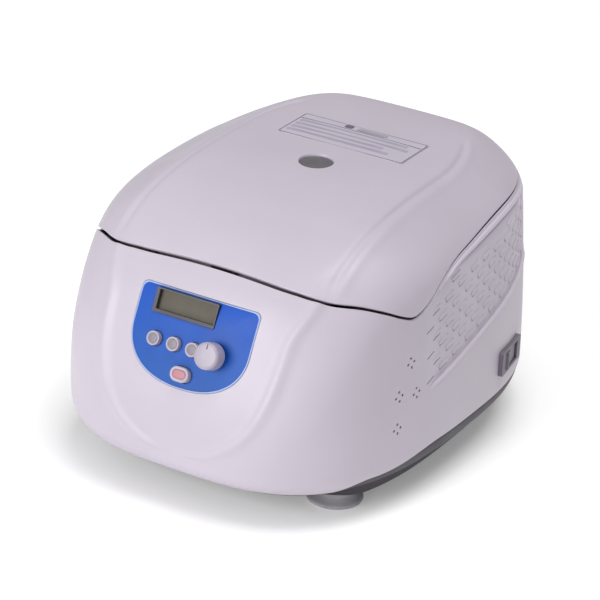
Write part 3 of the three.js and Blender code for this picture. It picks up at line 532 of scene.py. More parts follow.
# ------------------------------------------------------------------ materials
class Nodes:
    """Short names for building one material's node tree."""

    def __init__(self, name):
        self.material = bpy.data.materials.new(name)
        self.material.use_nodes = True
        self.tree = self.material.node_tree
        self.shader = self.tree.nodes["Principled BSDF"]
        self.coordinates = self.tree.nodes.new("ShaderNodeTexCoord").outputs["Object"]

    def add(self, kind, **values):
        node = self.tree.nodes.new(kind)
        for key, value in values.items():
            if key in node.inputs:
                node.inputs[key].default_value = value
            else:
                setattr(node, key, value)
        return node

    def link(self, source, target):
        self.tree.links.new(source, target)

    def noise(self, scale, detail=4.0, stretch=None):
        texture = self.add("ShaderNodeTexNoise", Scale=scale, Detail=detail)
        if stretch is None:
            self.link(self.coordinates, texture.inputs["Vector"])
        else:
            mapping = self.add("ShaderNodeMapping", Scale=stretch)
            self.link(self.coordinates, mapping.inputs["Vector"])
            self.link(mapping.outputs["Vector"], texture.inputs["Vector"])
        return texture.outputs["Fac"]

    def ramp(self, source, low, high, low_at=0.3, high_at=0.7):
        ramp = self.add("ShaderNodeMapRange")
        ramp.inputs["From Min"].default_value = low_at
        ramp.inputs["From Max"].default_value = high_at
        ramp.inputs["To Min"].default_value = low
        ramp.inputs["To Max"].default_value = high
        self.link(source, ramp.inputs["Value"])
        return ramp.outputs["Result"]

    def mix(self, share, first, second):
        mix = self.add("ShaderNodeMix", data_type="RGBA")
        self.link(share, mix.inputs[0])
        for socket, value in ((mix.inputs[6], first), (mix.inputs[7], second)):
            if isinstance(value, bpy.types.NodeSocket):
                self.link(value, socket)
            else:
                socket.default_value = (*value, 1)
        return mix.outputs[2]

    def bump(self, height, depth, strength=1.0):
        bump = self.add("ShaderNodeBump", Distance=depth, Strength=strength)
        self.link(height, bump.inputs["Height"])
        self.link(bump.outputs["Normal"], self.shader.inputs["Normal"])


def shade(colour, factor):
    return tuple(min(c * factor, 1.0) for c in colour)


def linear(red, green, blue):
    """Linear light values of a colour given in ordinary 0 to 255 steps."""
    return tuple(((c / 255 + 0.055) / 1.055) ** 2.4 if c > 10 else c / 3295 for c in (red, green, blue))


def moulded(name, colour, roughness=0.42, grain_scale=1400.0, grain_depth=0.00003, wear=1.12, mottle=0.035):
    """Moulded plastic or paint: faint mottling, fine grain and lighter rubbed edges."""
    n = Nodes(name)
    cloud = n.noise(9.0, 3.0)
    base = n.mix(n.ramp(cloud, 0, 1), shade(colour, 1 - mottle), shade(colour, 1 + mottle))
    edges = n.add("ShaderNodeNewGeometry").outputs["Pointiness"]
    rubbed = n.ramp(edges, 0, 1, 0.515, 0.58)
    n.link(n.mix(rubbed, base, shade(colour, wear)), n.shader.inputs["Base Color"])
    smudges = n.noise(26.0, 5.0)
    n.link(n.ramp(smudges, roughness - 0.05, roughness + 0.06), n.shader.inputs["Roughness"])
    n.bump(n.noise(grain_scale, 2.0), grain_depth, 0.5)
    return n.material


def brushed(name, colour, roughness=0.28, stretch=(1, 1, 60), scratch_scale=60.0):
    """Metal with fine directional scratches and cloudy handling marks."""
    n = Nodes(name)
    n.shader.inputs["Metallic"].default_value = 1.0
    cloud = n.noise(14.0, 4.0)
    n.link(n.mix(n.ramp(cloud, 0, 1), shade(colour, 0.9), colour), n.shader.inputs["Base Color"])
    scratches = n.noise(scratch_scale, 6.0, stretch)
    n.link(n.ramp(scratches, roughness - 0.07, roughness + 0.1), n.shader.inputs["Roughness"])
    n.bump(scratches, 0.00002, 0.5)
    return n.material


def rubber(name, colour):
    n = Nodes(name)
    dust = n.noise(60.0, 6.0)
    n.link(n.mix(n.ramp(dust, 0, 0.5), colour, shade(colour, 1.9)), n.shader.inputs["Base Color"])
    n.shader.inputs["Roughness"].default_value = 0.75
    n.bump(n.noise(900.0, 3.0), 0.00005, 0.6)
    return n.material


def panel_film():
    """Printed blue film, slightly deeper towards its foot, under a smooth clear face."""
    n = Nodes("blue_film")
    height = n.add("ShaderNodeSeparateXYZ")
    n.link(n.coordinates, height.inputs["Vector"])
    fade = n.ramp(height.outputs["Z"], 0, 1, 0.095, 0.165)
    blend = n.mix(fade, linear(20, 80, 158), linear(0, 70, 172))
    cloud = n.noise(40.0, 3.0)
    n.link(n.mix(n.ramp(cloud, 0, 0.1), blend, linear(40, 104, 205)), n.shader.inputs["Base Color"])
    n.link(n.ramp(cloud, 0.42, 0.5), n.shader.inputs["Roughness"])
    n.shader.inputs["Specular IOR Level"].default_value = 0.3
    n.bump(n.noise(1100.0, 2.0), 0.00002, 0.4)
    return n.material


def display_face():
    """Unlit liquid-crystal glass: grey-olive with a faint dot grid."""
    n = Nodes("display_glass")
    cloud = n.noise(35.0, 3.0)
    tone = n.mix(n.ramp(cloud, 0, 1), linear(92, 88, 78), linear(106, 101, 90))
    dots = n.add("ShaderNodeTexBrick", Scale=1.0)
    dots.inputs["Brick Width"].default_value = 0.0011
    dots.inputs["Row Height"].default_value = 0.0011
    dots.inputs["Mortar Size"].default_value = 0.00012
    dots.inputs["Color1"].default_value = (1, 1, 1, 1)
    dots.inputs["Color2"].default_value = (0.96, 0.96, 0.96, 1)
    dots.inputs["Mortar"].default_value = (0.75, 0.75, 0.75, 1)
    swap = n.add("ShaderNodeMapping", Rotation=(math.radians(66), 0, 0))
    n.link(n.coordinates, swap.inputs["Vector"])
    n.link(swap.outputs["Vector"], dots.inputs["Vector"])
    grid = n.add("ShaderNodeMix", data_type="RGBA", blend_type="MULTIPLY")
    grid.inputs[0].default_value = 0.5
    n.link(tone, grid.inputs[6])
    n.link(dots.outputs["Color"], grid.inputs[7])
    n.link(grid.outputs[2], n.shader.inputs["Base Color"])
    n.shader.inputs["Roughness"].default_value = 0.55
    n.shader.inputs["Specular IOR Level"].default_value = 0.2
    return n.material


def smoked_glass():
    """Dark tinted window with a soft sheen."""
    n = Nodes("smoked_glass")
    cloud = n.noise(60.0, 4.0)
    tint = n.mix(n.ramp(cloud, 0, 1), linear(98, 93, 100), linear(80, 76, 83))
    n.link(tint, n.shader.inputs["Base Color"])
    n.link(n.ramp(cloud, 0.18, 0.3), n.shader.inputs["Roughness"])
    n.shader.inputs["Coat Weight"].default_value = 0.5
    return n.material


def circuit_board():
    n = Nodes("circuit_board")
    tracks = n.add("ShaderNodeTexVoronoi", Scale=260.0)
    n.link(n.coordinates, tracks.inputs["Vector"])
    edge = n.ramp(tracks.outputs["Distance"], 0, 1, 0.2, 0.5)
    n.link(n.mix(edge, linear(28, 96, 60), linear(18, 66, 44)), n.shader.inputs["Base Color"])
    n.shader.inputs["Roughness"].default_value = 0.45
    n.bump(tracks.outputs["Distance"], 0.00008, 0.4)
    return n.material


def floor_surface():
    n = Nodes("floor_surface")
    cloud = n.noise(2.0, 2.0)
    tone = n.mix(n.ramp(cloud, 0, 1), (0.93, 0.93, 0.935), (0.95, 0.95, 0.95))
    n.link(tone, n.shader.inputs["Base Color"])
    n.link(tone, n.shader.inputs["Emission Color"])
    n.shader.inputs["Emission Strength"].default_value = 0.2
    n.shader.inputs["Roughness"].default_value = 0.9
    n.shader.inputs["Specular IOR Level"].default_value = 0.1
    return n.material


HOUSING = linear(186, 178, 190)
MATERIALS = {
    "housing": moulded("housing_plastic", HOUSING, wear=1.06),
    # The rails take the housing colour made 12% lighter: painted highlight for the light lines above and
    # below each louvre field.
    "rail": moulded("rail_plastic_painted_highlight", shade(HOUSING, 1.12), wear=1.06),
    "tray": moulded("tray_plastic", linear(58, 54, 62), roughness=0.55),
    "feet": rubber("foot_rubber", linear(150, 147, 153)),
    "panel": panel_film(),
    "window": display_face(),
    "sight_glass": smoked_glass(),
    "buttons": moulded("key_plastic", linear(118, 112, 120), roughness=0.38),
    "stop_button": moulded("stop_key_plastic", linear(168, 106, 116), roughness=0.38),
    "boards": circuit_board(),
    "steel": brushed("brushed_steel", (0.62, 0.63, 0.65)),
    "alloy": brushed("turned_alloy", (0.5, 0.51, 0.53), roughness=0.36, stretch=(1, 1, 30)),
    "dark_plastic": moulded("black_plastic", linear(44, 42, 48), roughness=0.42, wear=1.5),
    "liner": moulded("liner_plastic", linear(186, 180, 190), roughness=0.5),
    "seal": rubber("seal_rubber", linear(38, 38, 42)),
    "label": moulded("label_film", linear(186, 178, 192), roughness=0.3, grain_depth=0.00001),
    "motor": moulded("motor_paint", linear(40, 40, 44), roughness=0.35, wear=1.6),
}
KEY_RIM = moulded("key_rim_plastic", linear(160, 152, 167), roughness=0.34)
PANEL_RIM = moulded("panel_rim_plastic", linear(150, 168, 208), roughness=0.35)
SWITCH_GREY = moulded("switch_plastic", linear(104, 98, 108), roughness=0.5, wear=1.35)
LABEL_INK = moulded("label_ink", linear(104, 96, 114), roughness=0.5)
LABEL_FIELD = moulded("label_field", linear(158, 150, 166), roughness=0.35)


# ------------------------------------------------------------------ housing skins
def closed_shell(name, outer_rings, inner_rings):
    """Shell between an outer and an inner stack of rings that meet at both ends."""
    rings = list(outer_rings) + list(inner_rings)[::-1]
    return mesh_object(name, np.concatenate(rings), ring_faces(len(rings), TURN_STEPS, True), 50)


def turn_angles(steps=TURN_STEPS):
    return -math.pi + np.arange(steps) * 2 * math.pi / steps


def body_rings(offset, steps=TURN_STEPS, levels=HEIGHT_STEPS, drop=0.0, relief=None):
    """Rings of the body from its lower edge up to the slit, moved out by an offset."""
    angles = turn_angles(steps)
    low = body_foot(angles)
    top = edge_heights(angles, False) - drop
    rings = []
    for share in 1 - (1 - np.linspace(0, 1, levels)) ** 1.15:
        points = skin_at_height(angles, low * (1 - share) + top * share)
        rise = offset if relief is None else offset + relief(points)
        rings.append(points + skin_normals(points) * np.reshape(rise, (-1, 1)))
    return rings


def rounded_rim(rings, inner):
    """Pulls the last ring back and adds two rings that turn the edge over with a small radius."""
    edge = rings[-1].copy()
    back = rings[-2] - edge
    back /= np.linalg.norm(back, axis=1)[:, None]
    across = inner - edge
    across /= np.linalg.norm(across, axis=1)[:, None]
    rings[-1] = edge + back * EDGE_ROUNDING
    rings.append(edge + back * EDGE_ROUNDING * 0.3 + across * EDGE_ROUNDING * 0.3)
    rings.append(edge + across * EDGE_ROUNDING)


def body_skin():
    outer = body_rings(0.0, relief=body_relief)
    inner = body_rings(-WALL, levels=INNER_STEPS, relief=lambda p: -RECESS_DEPTH * recess_share(p))
    rounded_rim(outer, inner[-1])
    skin = closed_shell("body_skin", outer, inner)
    inlet = block("inlet_cut", (-14.5, 180, 46.5), (14.5, 200, 77.5))
    carve(skin, merged("body_cut", [panel_cutter(), inlet, switch_cutter(), *louvre_slits()]))
    return skin


def panel_cutter():
    cutter = prism("panel_cut", panel_outline(0.3), -16, 12)
    return place(cutter, panel_matrix())


def switch_matrix():
    turn = math.radians(8.5)
    along = Vector((-math.sin(turn), math.cos(turn), 0))
    out = Vector((math.cos(turn), math.sin(turn), 0))
    basis = Matrix((along, Vector((0, 0, 1)), out)).transposed().to_4x4()
    return Matrix.Translation((147.2, 67.5, 67.5)) @ basis


def switch_cutter():
    return place(prism("switch_cut", rounded_rectangle(42.6, 20.6, 2.3), -20, 10), switch_matrix())


def louvre_places():
    """Centre (y, z) of each louvre: rows that climb with the recessed field, every other row shifted."""
    places = []
    for row in range(LOUVRE_ROWS):
        for column in range(LOUVRE_COLUMNS):
            y = -60 + column * LOUVRE_PITCH + row % 2 * LOUVRE_PITCH / 2
            low = recess_lower(y) + 8
            high = 160 + 17 * smooth_step((y + 60) / 80)
            z = low + (high - low) * row / (LOUVRE_ROWS - 1)
            if z < upper_rail_height(np.array([y]))[0] - 8:
                places.append((y, z))
    return places


def wall_matrix(side, y, z):
    """Working plane of a louvre: x along its row, y up, z out of the side wall."""
    along = Vector((0, math.cos(LOUVRE_SLOPE), math.sin(LOUVRE_SLOPE)))
    up = Vector((0, -math.sin(LOUVRE_SLOPE), math.cos(LOUVRE_SLOPE)))
    basis = Matrix((along, up, Vector((side, 0, 0)))).transposed().to_4x4()
    return Matrix.Translation((side * 132, y, z)) @ basis


def louvre_slits():
    """Narrow slits under the louvres, and small round air holes ahead of the field."""
    cuts = []
    slit = rounded_rectangle(LOUVRE_LENGTH - 2, 1.0, 0.45, 2)
    for side in (-1, 1):
        for y, z in louvre_places():
            under = z - LOUVRE_WIDTH / 2 - 0.6
            cuts.append(place(prism("slit", slit, -12, 24), wall_matrix(side, y, under)))
        for y, z in AIR_HOLES:
            for ahead, up in ((0, 3.6), (3.4, 0.3), (-3.2, -0.8), (0.6, -3.8)):
                hole = prism("hole", circle(AIR_HOLE_RADIUS, 12), -12, 24)
                cuts.append(place(hole, wall_matrix(side, y + ahead, z + up)))
    return cuts


def louvres(side):
    """Low rounded hoods over the slits of one side wall, as one piece."""
    outline = np.array(rounded_rectangle(LOUVRE_LENGTH, LOUVRE_WIDTH, LOUVRE_WIDTH / 2 - 0.01, 4))
    rings = ((1.0, -0.6), (1.0, 0.25), (0.86, 0.7), (0.55, 0.95), (0.2, 1.05))
    matrices = [wall_matrix(side, y, z) for y, z in louvre_places()]
    rotation = np.array(matrices[0].to_3x3())
    centres = np.repeat(np.array([matrix.translation for matrix in matrices]), len(outline), axis=0)
    stacks = []
    for share, rise in rings:
        flat = outline * (1 - (1 - share) * np.array([LOUVRE_WIDTH / LOUVRE_LENGTH, 1]))
        flat = np.tile(np.column_stack([flat, np.full(len(flat), -14.0)]), (len(matrices), 1))
        directions = np.tile(rotation[:, 2], (len(flat), 1))
        hoods = skin_along(flat @ rotation.T + centres, directions, 0.0, 34.0, rise - RECESS_DEPTH)
        stacks.append(hoods.reshape(len(matrices), len(outline), 3))
    points = []
    faces = []
    count = len(outline)
    for index in range(len(matrices)):
        first = len(points) * count
        points.extend(stack[index] for stack in stacks)
        faces.extend(tuple(first + i for i in face) for face in ring_faces(len(rings), count))
        faces.append(tuple(range(first, first + count))[::-1])
        last = first + (len(rings) - 1) * count
        faces.append(tuple(range(last, last + count)))
    return mesh_object("louvres_right" if side > 0 else "louvres_left", np.concatenate(points), faces, 60)


def body_room():
    """Solid filling of the body up to just under the slit, for trimming the inner plates."""
    steps = 120
    rings = body_rings(-WALL / 2 - RECESS_DEPTH / 2, steps, 16, drop=2.0)
    ends = np.array([(0, CORE[1], BODY_BOTTOM), (0, CORE[1], REAR_BODY_EDGE - 2)])
    faces = ring_faces(len(rings), steps) + fans(len(rings), steps)
    return mesh_object("body_room", np.concatenate(rings + [ends]), faces)


def inner_plates():
    """The deck around the chamber, and the front bulkhead and ledge that the lid closes on."""
    deck = block("deck_plate", (-160, -133.5, DECK_BOTTOM), (160, 200, DECK_TOP))
    carve(deck, body_room(), "INTERSECT")
    outline = [(0, 140), (DECK_HOLE, 140), (DECK_HOLE, 160), (0, 160)]
    carve(deck, place(turned("hole", outline, 160), Matrix.Translation((0, AXIS_Y, 0))))
    carve(deck, block("latch_slot", (-11, -130.5, 140), (11, -121.5, 160)))
    bulkhead = block("front_bulkhead", (-160, -133.4, DECK_TOP + 0.1), (160, -131, LEDGE_TOP - 2.6))
    carve(bulkhead, body_room(), "INTERSECT")
    ledge = block("front_ledge", (-160, -200, LEDGE_TOP - 2.5), (160, -131, LEDGE_TOP))
    carve(ledge, body_room(), "INTERSECT")
    return [bevelled(plate, 0.6) for plate in (deck, bulkhead, ledge)]


def lid_rings(offset, levels=HEIGHT_STEPS, relief=None):
    """Rings of the lid from near its top down to the slit, moved out by an offset."""
    angles = turn_angles()
    edge = skin_at_height(angles, edge_heights(angles, True))
    rise = edge - CORE
    start = np.arctan2(rise[:, 2], np.hypot(rise[:, 0], rise[:, 1]))
    rings = []
    for share in np.linspace(0.985, 0, levels):
        points = edge if share == 0 else skin_at_elevation(angles, start * (1 - share) + math.pi / 2 * share)
        depth = offset if relief is None else offset + relief(points)
        rings.append(points + skin_normals(points) * np.reshape(depth, (-1, 1)))
    return rings


def lid_skin():
    outer = lid_rings(0.0, relief=lid_relief)
    inner = lid_rings(-WALL, INNER_STEPS)
    rounded_rim(outer, inner[-1])
    rings = outer + inner[::-1]
    poles = []
    for offset in (0.0, -WALL):
        top = skin_at_elevation(np.zeros(1), np.full(1, math.pi / 2))
        poles.append(top + skin_normals(top) * offset)
    points = np.concatenate(rings + poles)
    faces = ring_faces(len(rings), TURN_STEPS) + fans(len(rings), TURN_STEPS)
    skin = mesh_object("lid_skin", points, faces, 50)
    bore = WINDOW_RADIUS
    chamfer = WINDOW_RADIUS + 0.8
    outline = [(0, 190), (bore, 190), (bore, 213.0), (chamfer, 214.2), (chamfer, 240), (0, 240)]
    carve(skin, place(turned("glass_cut", outline, 128), Matrix.Translation((0, AXIS_Y, 0))))
    return skin


# ------------------------------------------------------------------ pieces that lie on the skin
def rail(name, side, height_at, first, last):
    """Slim half-round moulding along a side wall; height_at gives its z for each y."""
    steps = 90
    along = np.linspace(first, last, steps)
    taper = smooth_step((along - first) / 18) * smooth_step((last - along) / 10)
    stack = []
    for across, rise in RAIL_SECTION:
        level = (rise + 0.3) * np.maximum(taper, 0.05) - 0.3
        start = np.column_stack([np.full(steps, side * 100.0), along, height_at(along) + across])
        directions = np.tile([float(side), 0, 0], (steps, 1))
        skin = skin_along(start, directions, 0.0, 80.0)
        stack.append(skin + skin_normals(skin) * level[:, None])
    points = np.stack(stack, axis=1).reshape(-1, 3)
    count = len(stack)
    faces = ring_faces(steps, count)
    faces.append(tuple(range(count))[::-1])
    faces.append(tuple(range((steps - 1) * count, steps * count)))
    return mesh_object(name, points, faces, 60)


def side_rails():
    """A moulding under each louvre field and one along the body's upper rim above it."""
    rails = []
    for side, word in ((-1, "left"), (1, "right")):
        rails.append(rail("lower_rail_" + word, side, lambda y: recess_lower(y) - 0.6, -66, 124))
        rails.append(rail("upper_rail_" + word, side, upper_rail_height, -48, 124))
    return rails


def upper_rail_height(y):
    """Follows the slit at the place where each y meets the side wall, about 140 mm from the middle."""
    angles = np.degrees(np.arctan2(np.full(len(y), 139.0), CORE[1] - y))
    return seam_height(angles) - 3.0


def on_skin(flat_points, matrix, level):
    """Drops (x, y) points of a working plane onto a level set of the skin, along the plane's normal."""
    flat_points = np.array(flat_points, float)
    turn = np.array(matrix.to_3x3())
    start = np.column_stack([flat_points, np.full(len(flat_points), -14.0)]) @ turn.T
    start = start + np.array(matrix.translation)
    directions = np.tile(turn[:, 2], (len(start), 1))
    return skin_along(start, directions, 0.0, 30.0, level)


def skin_patch(name, outline, matrix, level, thickness, rings=24):
    """Sheet that follows the skin inside a closed outline."""
    outline = np.array(outline, float)
    centre = outline.mean(axis=0)
    layers = [(share, level) for share in np.linspace(0.02, 1, rings)]
    layers += [(1.0, level - thickness), (0.02, level - thickness)]
    stack = [on_skin(centre + (outline - centre) * share, matrix, height) for share, height in layers]
    count = len(outline)
    faces = ring_faces(len(stack), count)
    faces.append(tuple(range(count))[::-1])
    faces.append(tuple(range((len(stack) - 1) * count, len(stack) * count)))
    return mesh_object(name, np.concatenate(stack), faces, 40)


def panel_outline(grow=0.0):
    """Half-shield outline in panel space, counter-clockwise."""
    width = PANEL_HALF_WIDTH + grow
    top = PANEL_TOP + grow
    depth = PANEL_WAIST - PANEL_BOTTOM + grow
    outline = []
    for centre_x, first in ((width - PANEL_CORNER, 0.0), (PANEL_CORNER - width, math.pi / 2)):
        for turn in np.linspace(first, first + math.pi / 2, 9):
            x = centre_x + PANEL_CORNER * math.cos(turn)
            outline.append((x, top - PANEL_CORNER + PANEL_CORNER * math.sin(turn)))
    for turn in np.linspace(math.pi, 2 * math.pi, 48):
        across = math.copysign(abs(math.cos(turn)) ** (2 / PANEL_POWER), math.cos(turn))
        down = abs(math.sin(turn)) ** (2 / PANEL_POWER)
        outline.append((across * width, PANEL_WAIST - down * depth))
    return outline


def control_panel():
    """Blue face with its pale raised rim, pierced for the keys, the knob and the display."""
    face = skin_patch("panel_face", panel_outline(-1.3), panel_matrix(), 0.25, 2.2)
    cuts = [(prism("key_cut", circle(5.9), -16, 12), x, 0.0) for x in BUTTON_X.values()]
    cuts.append((prism("knob_cut", circle(4.0), -16, 12), KNOB_X, 0.0))
    cuts.append((prism("stop_cut", rounded_rectangle(17, 12.4, 6.1), -16, 12), 0.0, STOP_UP))
    cuts.append((prism("lcd_cut", rounded_rectangle(LCD_WIDTH, LCD_HEIGHT, 1.0), -16, 12), LCD_X, LCD_UP))
    for cutter, x, up in cuts:
        carve(face, place(cutter, panel_matrix(x, up)))
    rim = rim_strip("panel_rim", panel_outline(0.0), panel_outline(-1.2), panel_matrix(), 0.75, 2.2)
    return face, rim


def display_painted_shade_frame():
    """Dark frame sunk in the display opening as painted shade, wider at its left and lower edges where the
    opening's walls are in shade.
    """
    outline = rounded_rectangle(LCD_WIDTH - 0.6, LCD_HEIGHT - 0.6, 0.8)
    bezel = prism("display_painted_shade_frame", outline, -4.2, -0.5)
    # Moving the hole right and up widens the dark frame at the left and bottom: painted shade of the
    # opening's walls.
    hole = place(prism("hole", rounded_rectangle(LCD_WIDTH - 4.4, LCD_HEIGHT - 4.2, 0.4), -9, 9),
                 Matrix.Translation((0.9, 0.7, 0)))
    carve(bezel, hole)
    return place(bezel, panel_matrix(LCD_X, LCD_UP))


def rim_strip(name, outer, inner, matrix, level, thickness):
    """Rounded strip between two matching outlines, following the skin."""
    outer = np.array(outer, float)
    inner = np.array(inner, float)
    stack = []
    for share, drop in ((0.0, thickness), (0.0, 0.5), (0.15, 0.15), (0.35, 0.0), (0.65, 0.0), (0.85, 0.15),
                        (1.0, 0.5), (1.0, thickness)):
        stack.append(on_skin(outer + (inner - outer) * share, matrix, level - drop))
    return mesh_object(name, np.concatenate(stack), ring_faces(len(stack), len(outer), True), 60)


def lid_matrix(y):
    return Matrix.Translation((0, y, 206))


def lid_label():
    """Film with a thin outline, a header band and unreadable text bars."""
    width, height = 111.0, 44.5
    place_at = lid_matrix(63.75)
    film = skin_patch("label_film", rounded_rectangle(width, height, 2, 4), place_at, 0.5, 0.3)
    outer = rounded_rectangle(width - 0.6, height - 0.6, 2, 4)
    inner = rounded_rectangle(width - 2.6, height - 2.6, 1.4, 4)
    lines = [rim_strip("label_outline", outer, inner, place_at, 0.68, 0.15)]
    lines.append(bar_patch("label_rule", 0, 12.0, 107, 0.9, place_at))
    lines.append(bar_patch("label_mark", -13, 17.0, 7, 5.4, place_at))
    bars = [bar_patch("label_bar", 8, 16.4, 26, 4.6, place_at)]
    for row in range(4):
        length = (96, 100, 82, 90)[row]
        bars.append(bar_patch("label_bar", (length - 104) / 2, 7.6 - row * 7.0, length, 4.2, place_at))
    return film, merged("label_lines", lines), merged("label_text_bars", bars)


def bar_patch(name, x, y, width, height, matrix):
    outline = np.array(rounded_rectangle(width, height, min(height, width) * 0.3, 3)) + (x, y)
    return skin_patch(name, outline, matrix, 0.66, 0.12, rings=5)


# ------------------------------------------------------------------ controls
def round_key(name, x):
    """Round key: pale raised rim around a sunk grey cap."""
    outline = [(0, -10), (3, -10), (3, -6), (5.4, -6), (5.4, 2.6), (4.2, 2.6), (3.9, 2.1), (0, 2.1)]
    body = turned("key", rounded(outline, 0.5))
    cap = turned("cap", rounded([(0, 2.05), (3.7, 2.05), (3.6, 2.35), (0, 2.5)], 0.3), 64)
    rim = place(body, panel_matrix(x, 0))
    rim.name = name + "_rim"
    face = place(cap, panel_matrix(x, 0))
    face.name = name + "_cap"
    return rim, face


def stop_key():
    rim_layers = [(0.0, 0.8), (0.15, 0.35), (0.5, 0.05), (1.0, 0.0), (2.0, 0.1), (2.3, 0.5)]
    cap_layers = [(0.0, 0.3), (0.4, 0.05), (1.2, 0.0)]
    body = prism("stop_rim", rounded_rectangle(16, 11.4, 5.6), -7, 1.4, rim_layers)
    cap = prism("stop_cap", rounded_rectangle(11.0, 6.6, 3.2), 0.6, 1.35, cap_layers)
    place(body, panel_matrix(0, STOP_UP))
    place(cap, panel_matrix(0, STOP_UP))
    return body, cap


def knob():
    outline = [(0, 1.4), (10.3, 1.4), (10.3, 10.6), (9.9, 12.2), (8.6, 13.0), (4, 13.35), (0, 13.4)]
    thing = turned("knob_body", rounded(outline, 0.9), 128)
    carve(thing, block("mark", (-0.6, 5.0, 12.2), (0.6, 9.2, 20)))
    return place(thing, panel_matrix(KNOB_X, 0))


# ------------------------------------------------------------------ base and drive
def plan_ring(angles, z, inset):
    """Plan outline of the housing's underside at height z, drawn in by an inset."""
    ring = skin_at_height(angles, np.full(len(angles), BODY_BOTTOM + 0.6))
    out = skin_normals(ring)
    out[:, 2] = 0
    out /= np.linalg.norm(out, axis=1)[:, None]
    ring = ring - out * np.reshape(inset, (-1, 1))
    ring[:, 2] = z
    return ring


def skirt_ring(angles, share, depth):
    low = np.full(len(angles), BODY_BOTTOM + 0.1)
    high = body_foot(angles) - 0.5
    ring = skin_at_height(angles, low * (1 - share) + high * share)
    return ring - skin_normals(ring) * depth


def tray():
    """Pan under the machine, with a thin rim at the front and a skirt up the sides."""
    angles = turn_angles(240)
    pan = 2.5 + PAN_INSET * (1 - skirt_share(angles))
    rings = [
        plan_ring(angles, TRAY_BOTTOM, pan + 3),
        plan_ring(angles, TRAY_BOTTOM + 0.6, pan + 1.2),
        plan_ring(angles, TRAY_BOTTOM + 2, pan + 0.2),
        plan_ring(angles, TRAY_FLANGE - 1, pan),
        plan_ring(angles, TRAY_FLANGE, 2),
    ]
    rings += [skirt_ring(angles, share, 0.6) for share in np.linspace(0.2, 0.97, 7)]
    rings += [skirt_ring(angles, 1.0, 1.0)]
    rings += [skirt_ring(angles, share, 2.6) for share in (1.0, 0.75, 0.5)]
    rings += [
        plan_ring(angles, BODY_BOTTOM, 5),
        plan_ring(angles, TRAY_FLANGE + 2, pan + 3),
        plan_ring(angles, TRAY_FLOOR, pan + 3.4),
    ]
    ends = np.array([(0, CORE[1], TRAY_BOTTOM), (0, CORE[1], TRAY_FLOOR)])
    faces = ring_faces(len(rings), len(angles)) + fans(len(rings), len(angles))
    return mesh_object("tray_body", np.concatenate(rings + [ends]), faces, 40)


def foot(name, x, y):
    outline = [(0, 0), (20.5, 0), (22, 1.2), (21.6, 3.2), (18.5, 5.2), (16.4, 7.5), (16, 11.2), (0, 11.2)]
    thing = turned(name + "_pad", rounded(outline, 1.0), 96)
    return place(thing, Matrix.Translation((x, y, 0)))


def bowl():
    """Pressed steel bowl whose rim rests on the deck."""
    floor = BOWL_FLOOR
    rim = DECK_TOP + 0.3
    outline = [
        (20, floor), (104, floor), (112, floor + 8), (117.5, rim), (126, rim), (126, rim + 1),
        (116.4, rim + 1), (111, floor + 8.6), (103.5, floor + 1.1), (20, floor + 1.1), (20, floor),
    ]
    thing = turned("bowl_pressing", outline, 192, 25)
    return place(thing, Matrix.Translation((0, AXIS_Y, 0)))


def angle_rotor():
    """Conical rotor with six slanted tube holes."""
    outline = [
        (5.3, 78), (60, 78), (88, 72), (95, 78), (95, 86), (66, 134), (61, ROTOR_TOP), (30, ROTOR_TOP),
        (22, 131), (5.3, 131), (5.3, 78),
    ]
    thing = turned("rotor_body", outline, 144, 25)
    slant = Matrix.Rotation(-TUBE_SLANT, 4, "Y")
    for index in range(ROTOR_PLACES):
        bore = turned("bore", [(0, -60), (TUBE_RADIUS, -60), (TUBE_RADIUS, 12), (0, 12)], 48)
        around = Matrix.Rotation(index * 2 * math.pi / ROTOR_PLACES, 4, "Z")
        carve(thing, place(bore, around @ Matrix.Translation((TUBE_CIRCLE, 0, ROTOR_TOP)) @ slant))
    return bevelled(place(thing, Matrix.Translation((0, AXIS_Y, 0))), 0.5, 2)


def rotor_nut():
    outline = [(5.3, 131.3), (15, 131.3), (15, 140.5), (12, 144), (4.2, 144), (3.6, 141.5), (0, 141.5)]
    thing = turned("nut_body", rounded([(0, 138), (5.3, 138)] + outline, 0.4), 96, 25)
    return place(thing, Matrix.Translation((0, AXIS_Y, 0)))


# ------------------------------------------------------------------ assembly
def dress_housing():
    material = MATERIALS["housing"]
    finish_piece(body_skin(), material, "machine", "housing", "body_shell")
    deck, bulkhead, ledge = inner_plates()
    finish_piece(deck, material, "machine", "housing", "body_shell")
    # Bulkhead and ledge take the black plastic as painted shade, so the slit across the front reads dark.
    finish_piece(bulkhead, MATERIALS["dark_plastic"], "machine", "housing", "body_shell")
    finish_piece(ledge, MATERIALS["dark_plastic"], "machine", "housing", "body_shell")
    for side in (-1, 1):
        finish_piece(louvres(side), material, "machine", "housing", "body_shell")
    # The rails' lighter plastic is painted highlight.
    for moulding in side_rails():
        finish_piece(moulding, MATERIALS["rail"], "machine", "housing", "body_shell")
    finish_piece(lid_skin(), material, "lid", "housing", "lid_shell")
    finish_piece(tray(), MATERIALS["tray"], "machine", "tray", "base_tray")
    for end, y in (("front", FOOT_FRONT_Y), ("rear", FOOT_REAR_Y)):
        for word, x in (("left", -FOOT_X), ("right", FOOT_X)):
            name = f"foot_{end}_{word}"
            finish_piece(foot(name, x, y), MATERIALS["feet"], "machine", "feet", name)


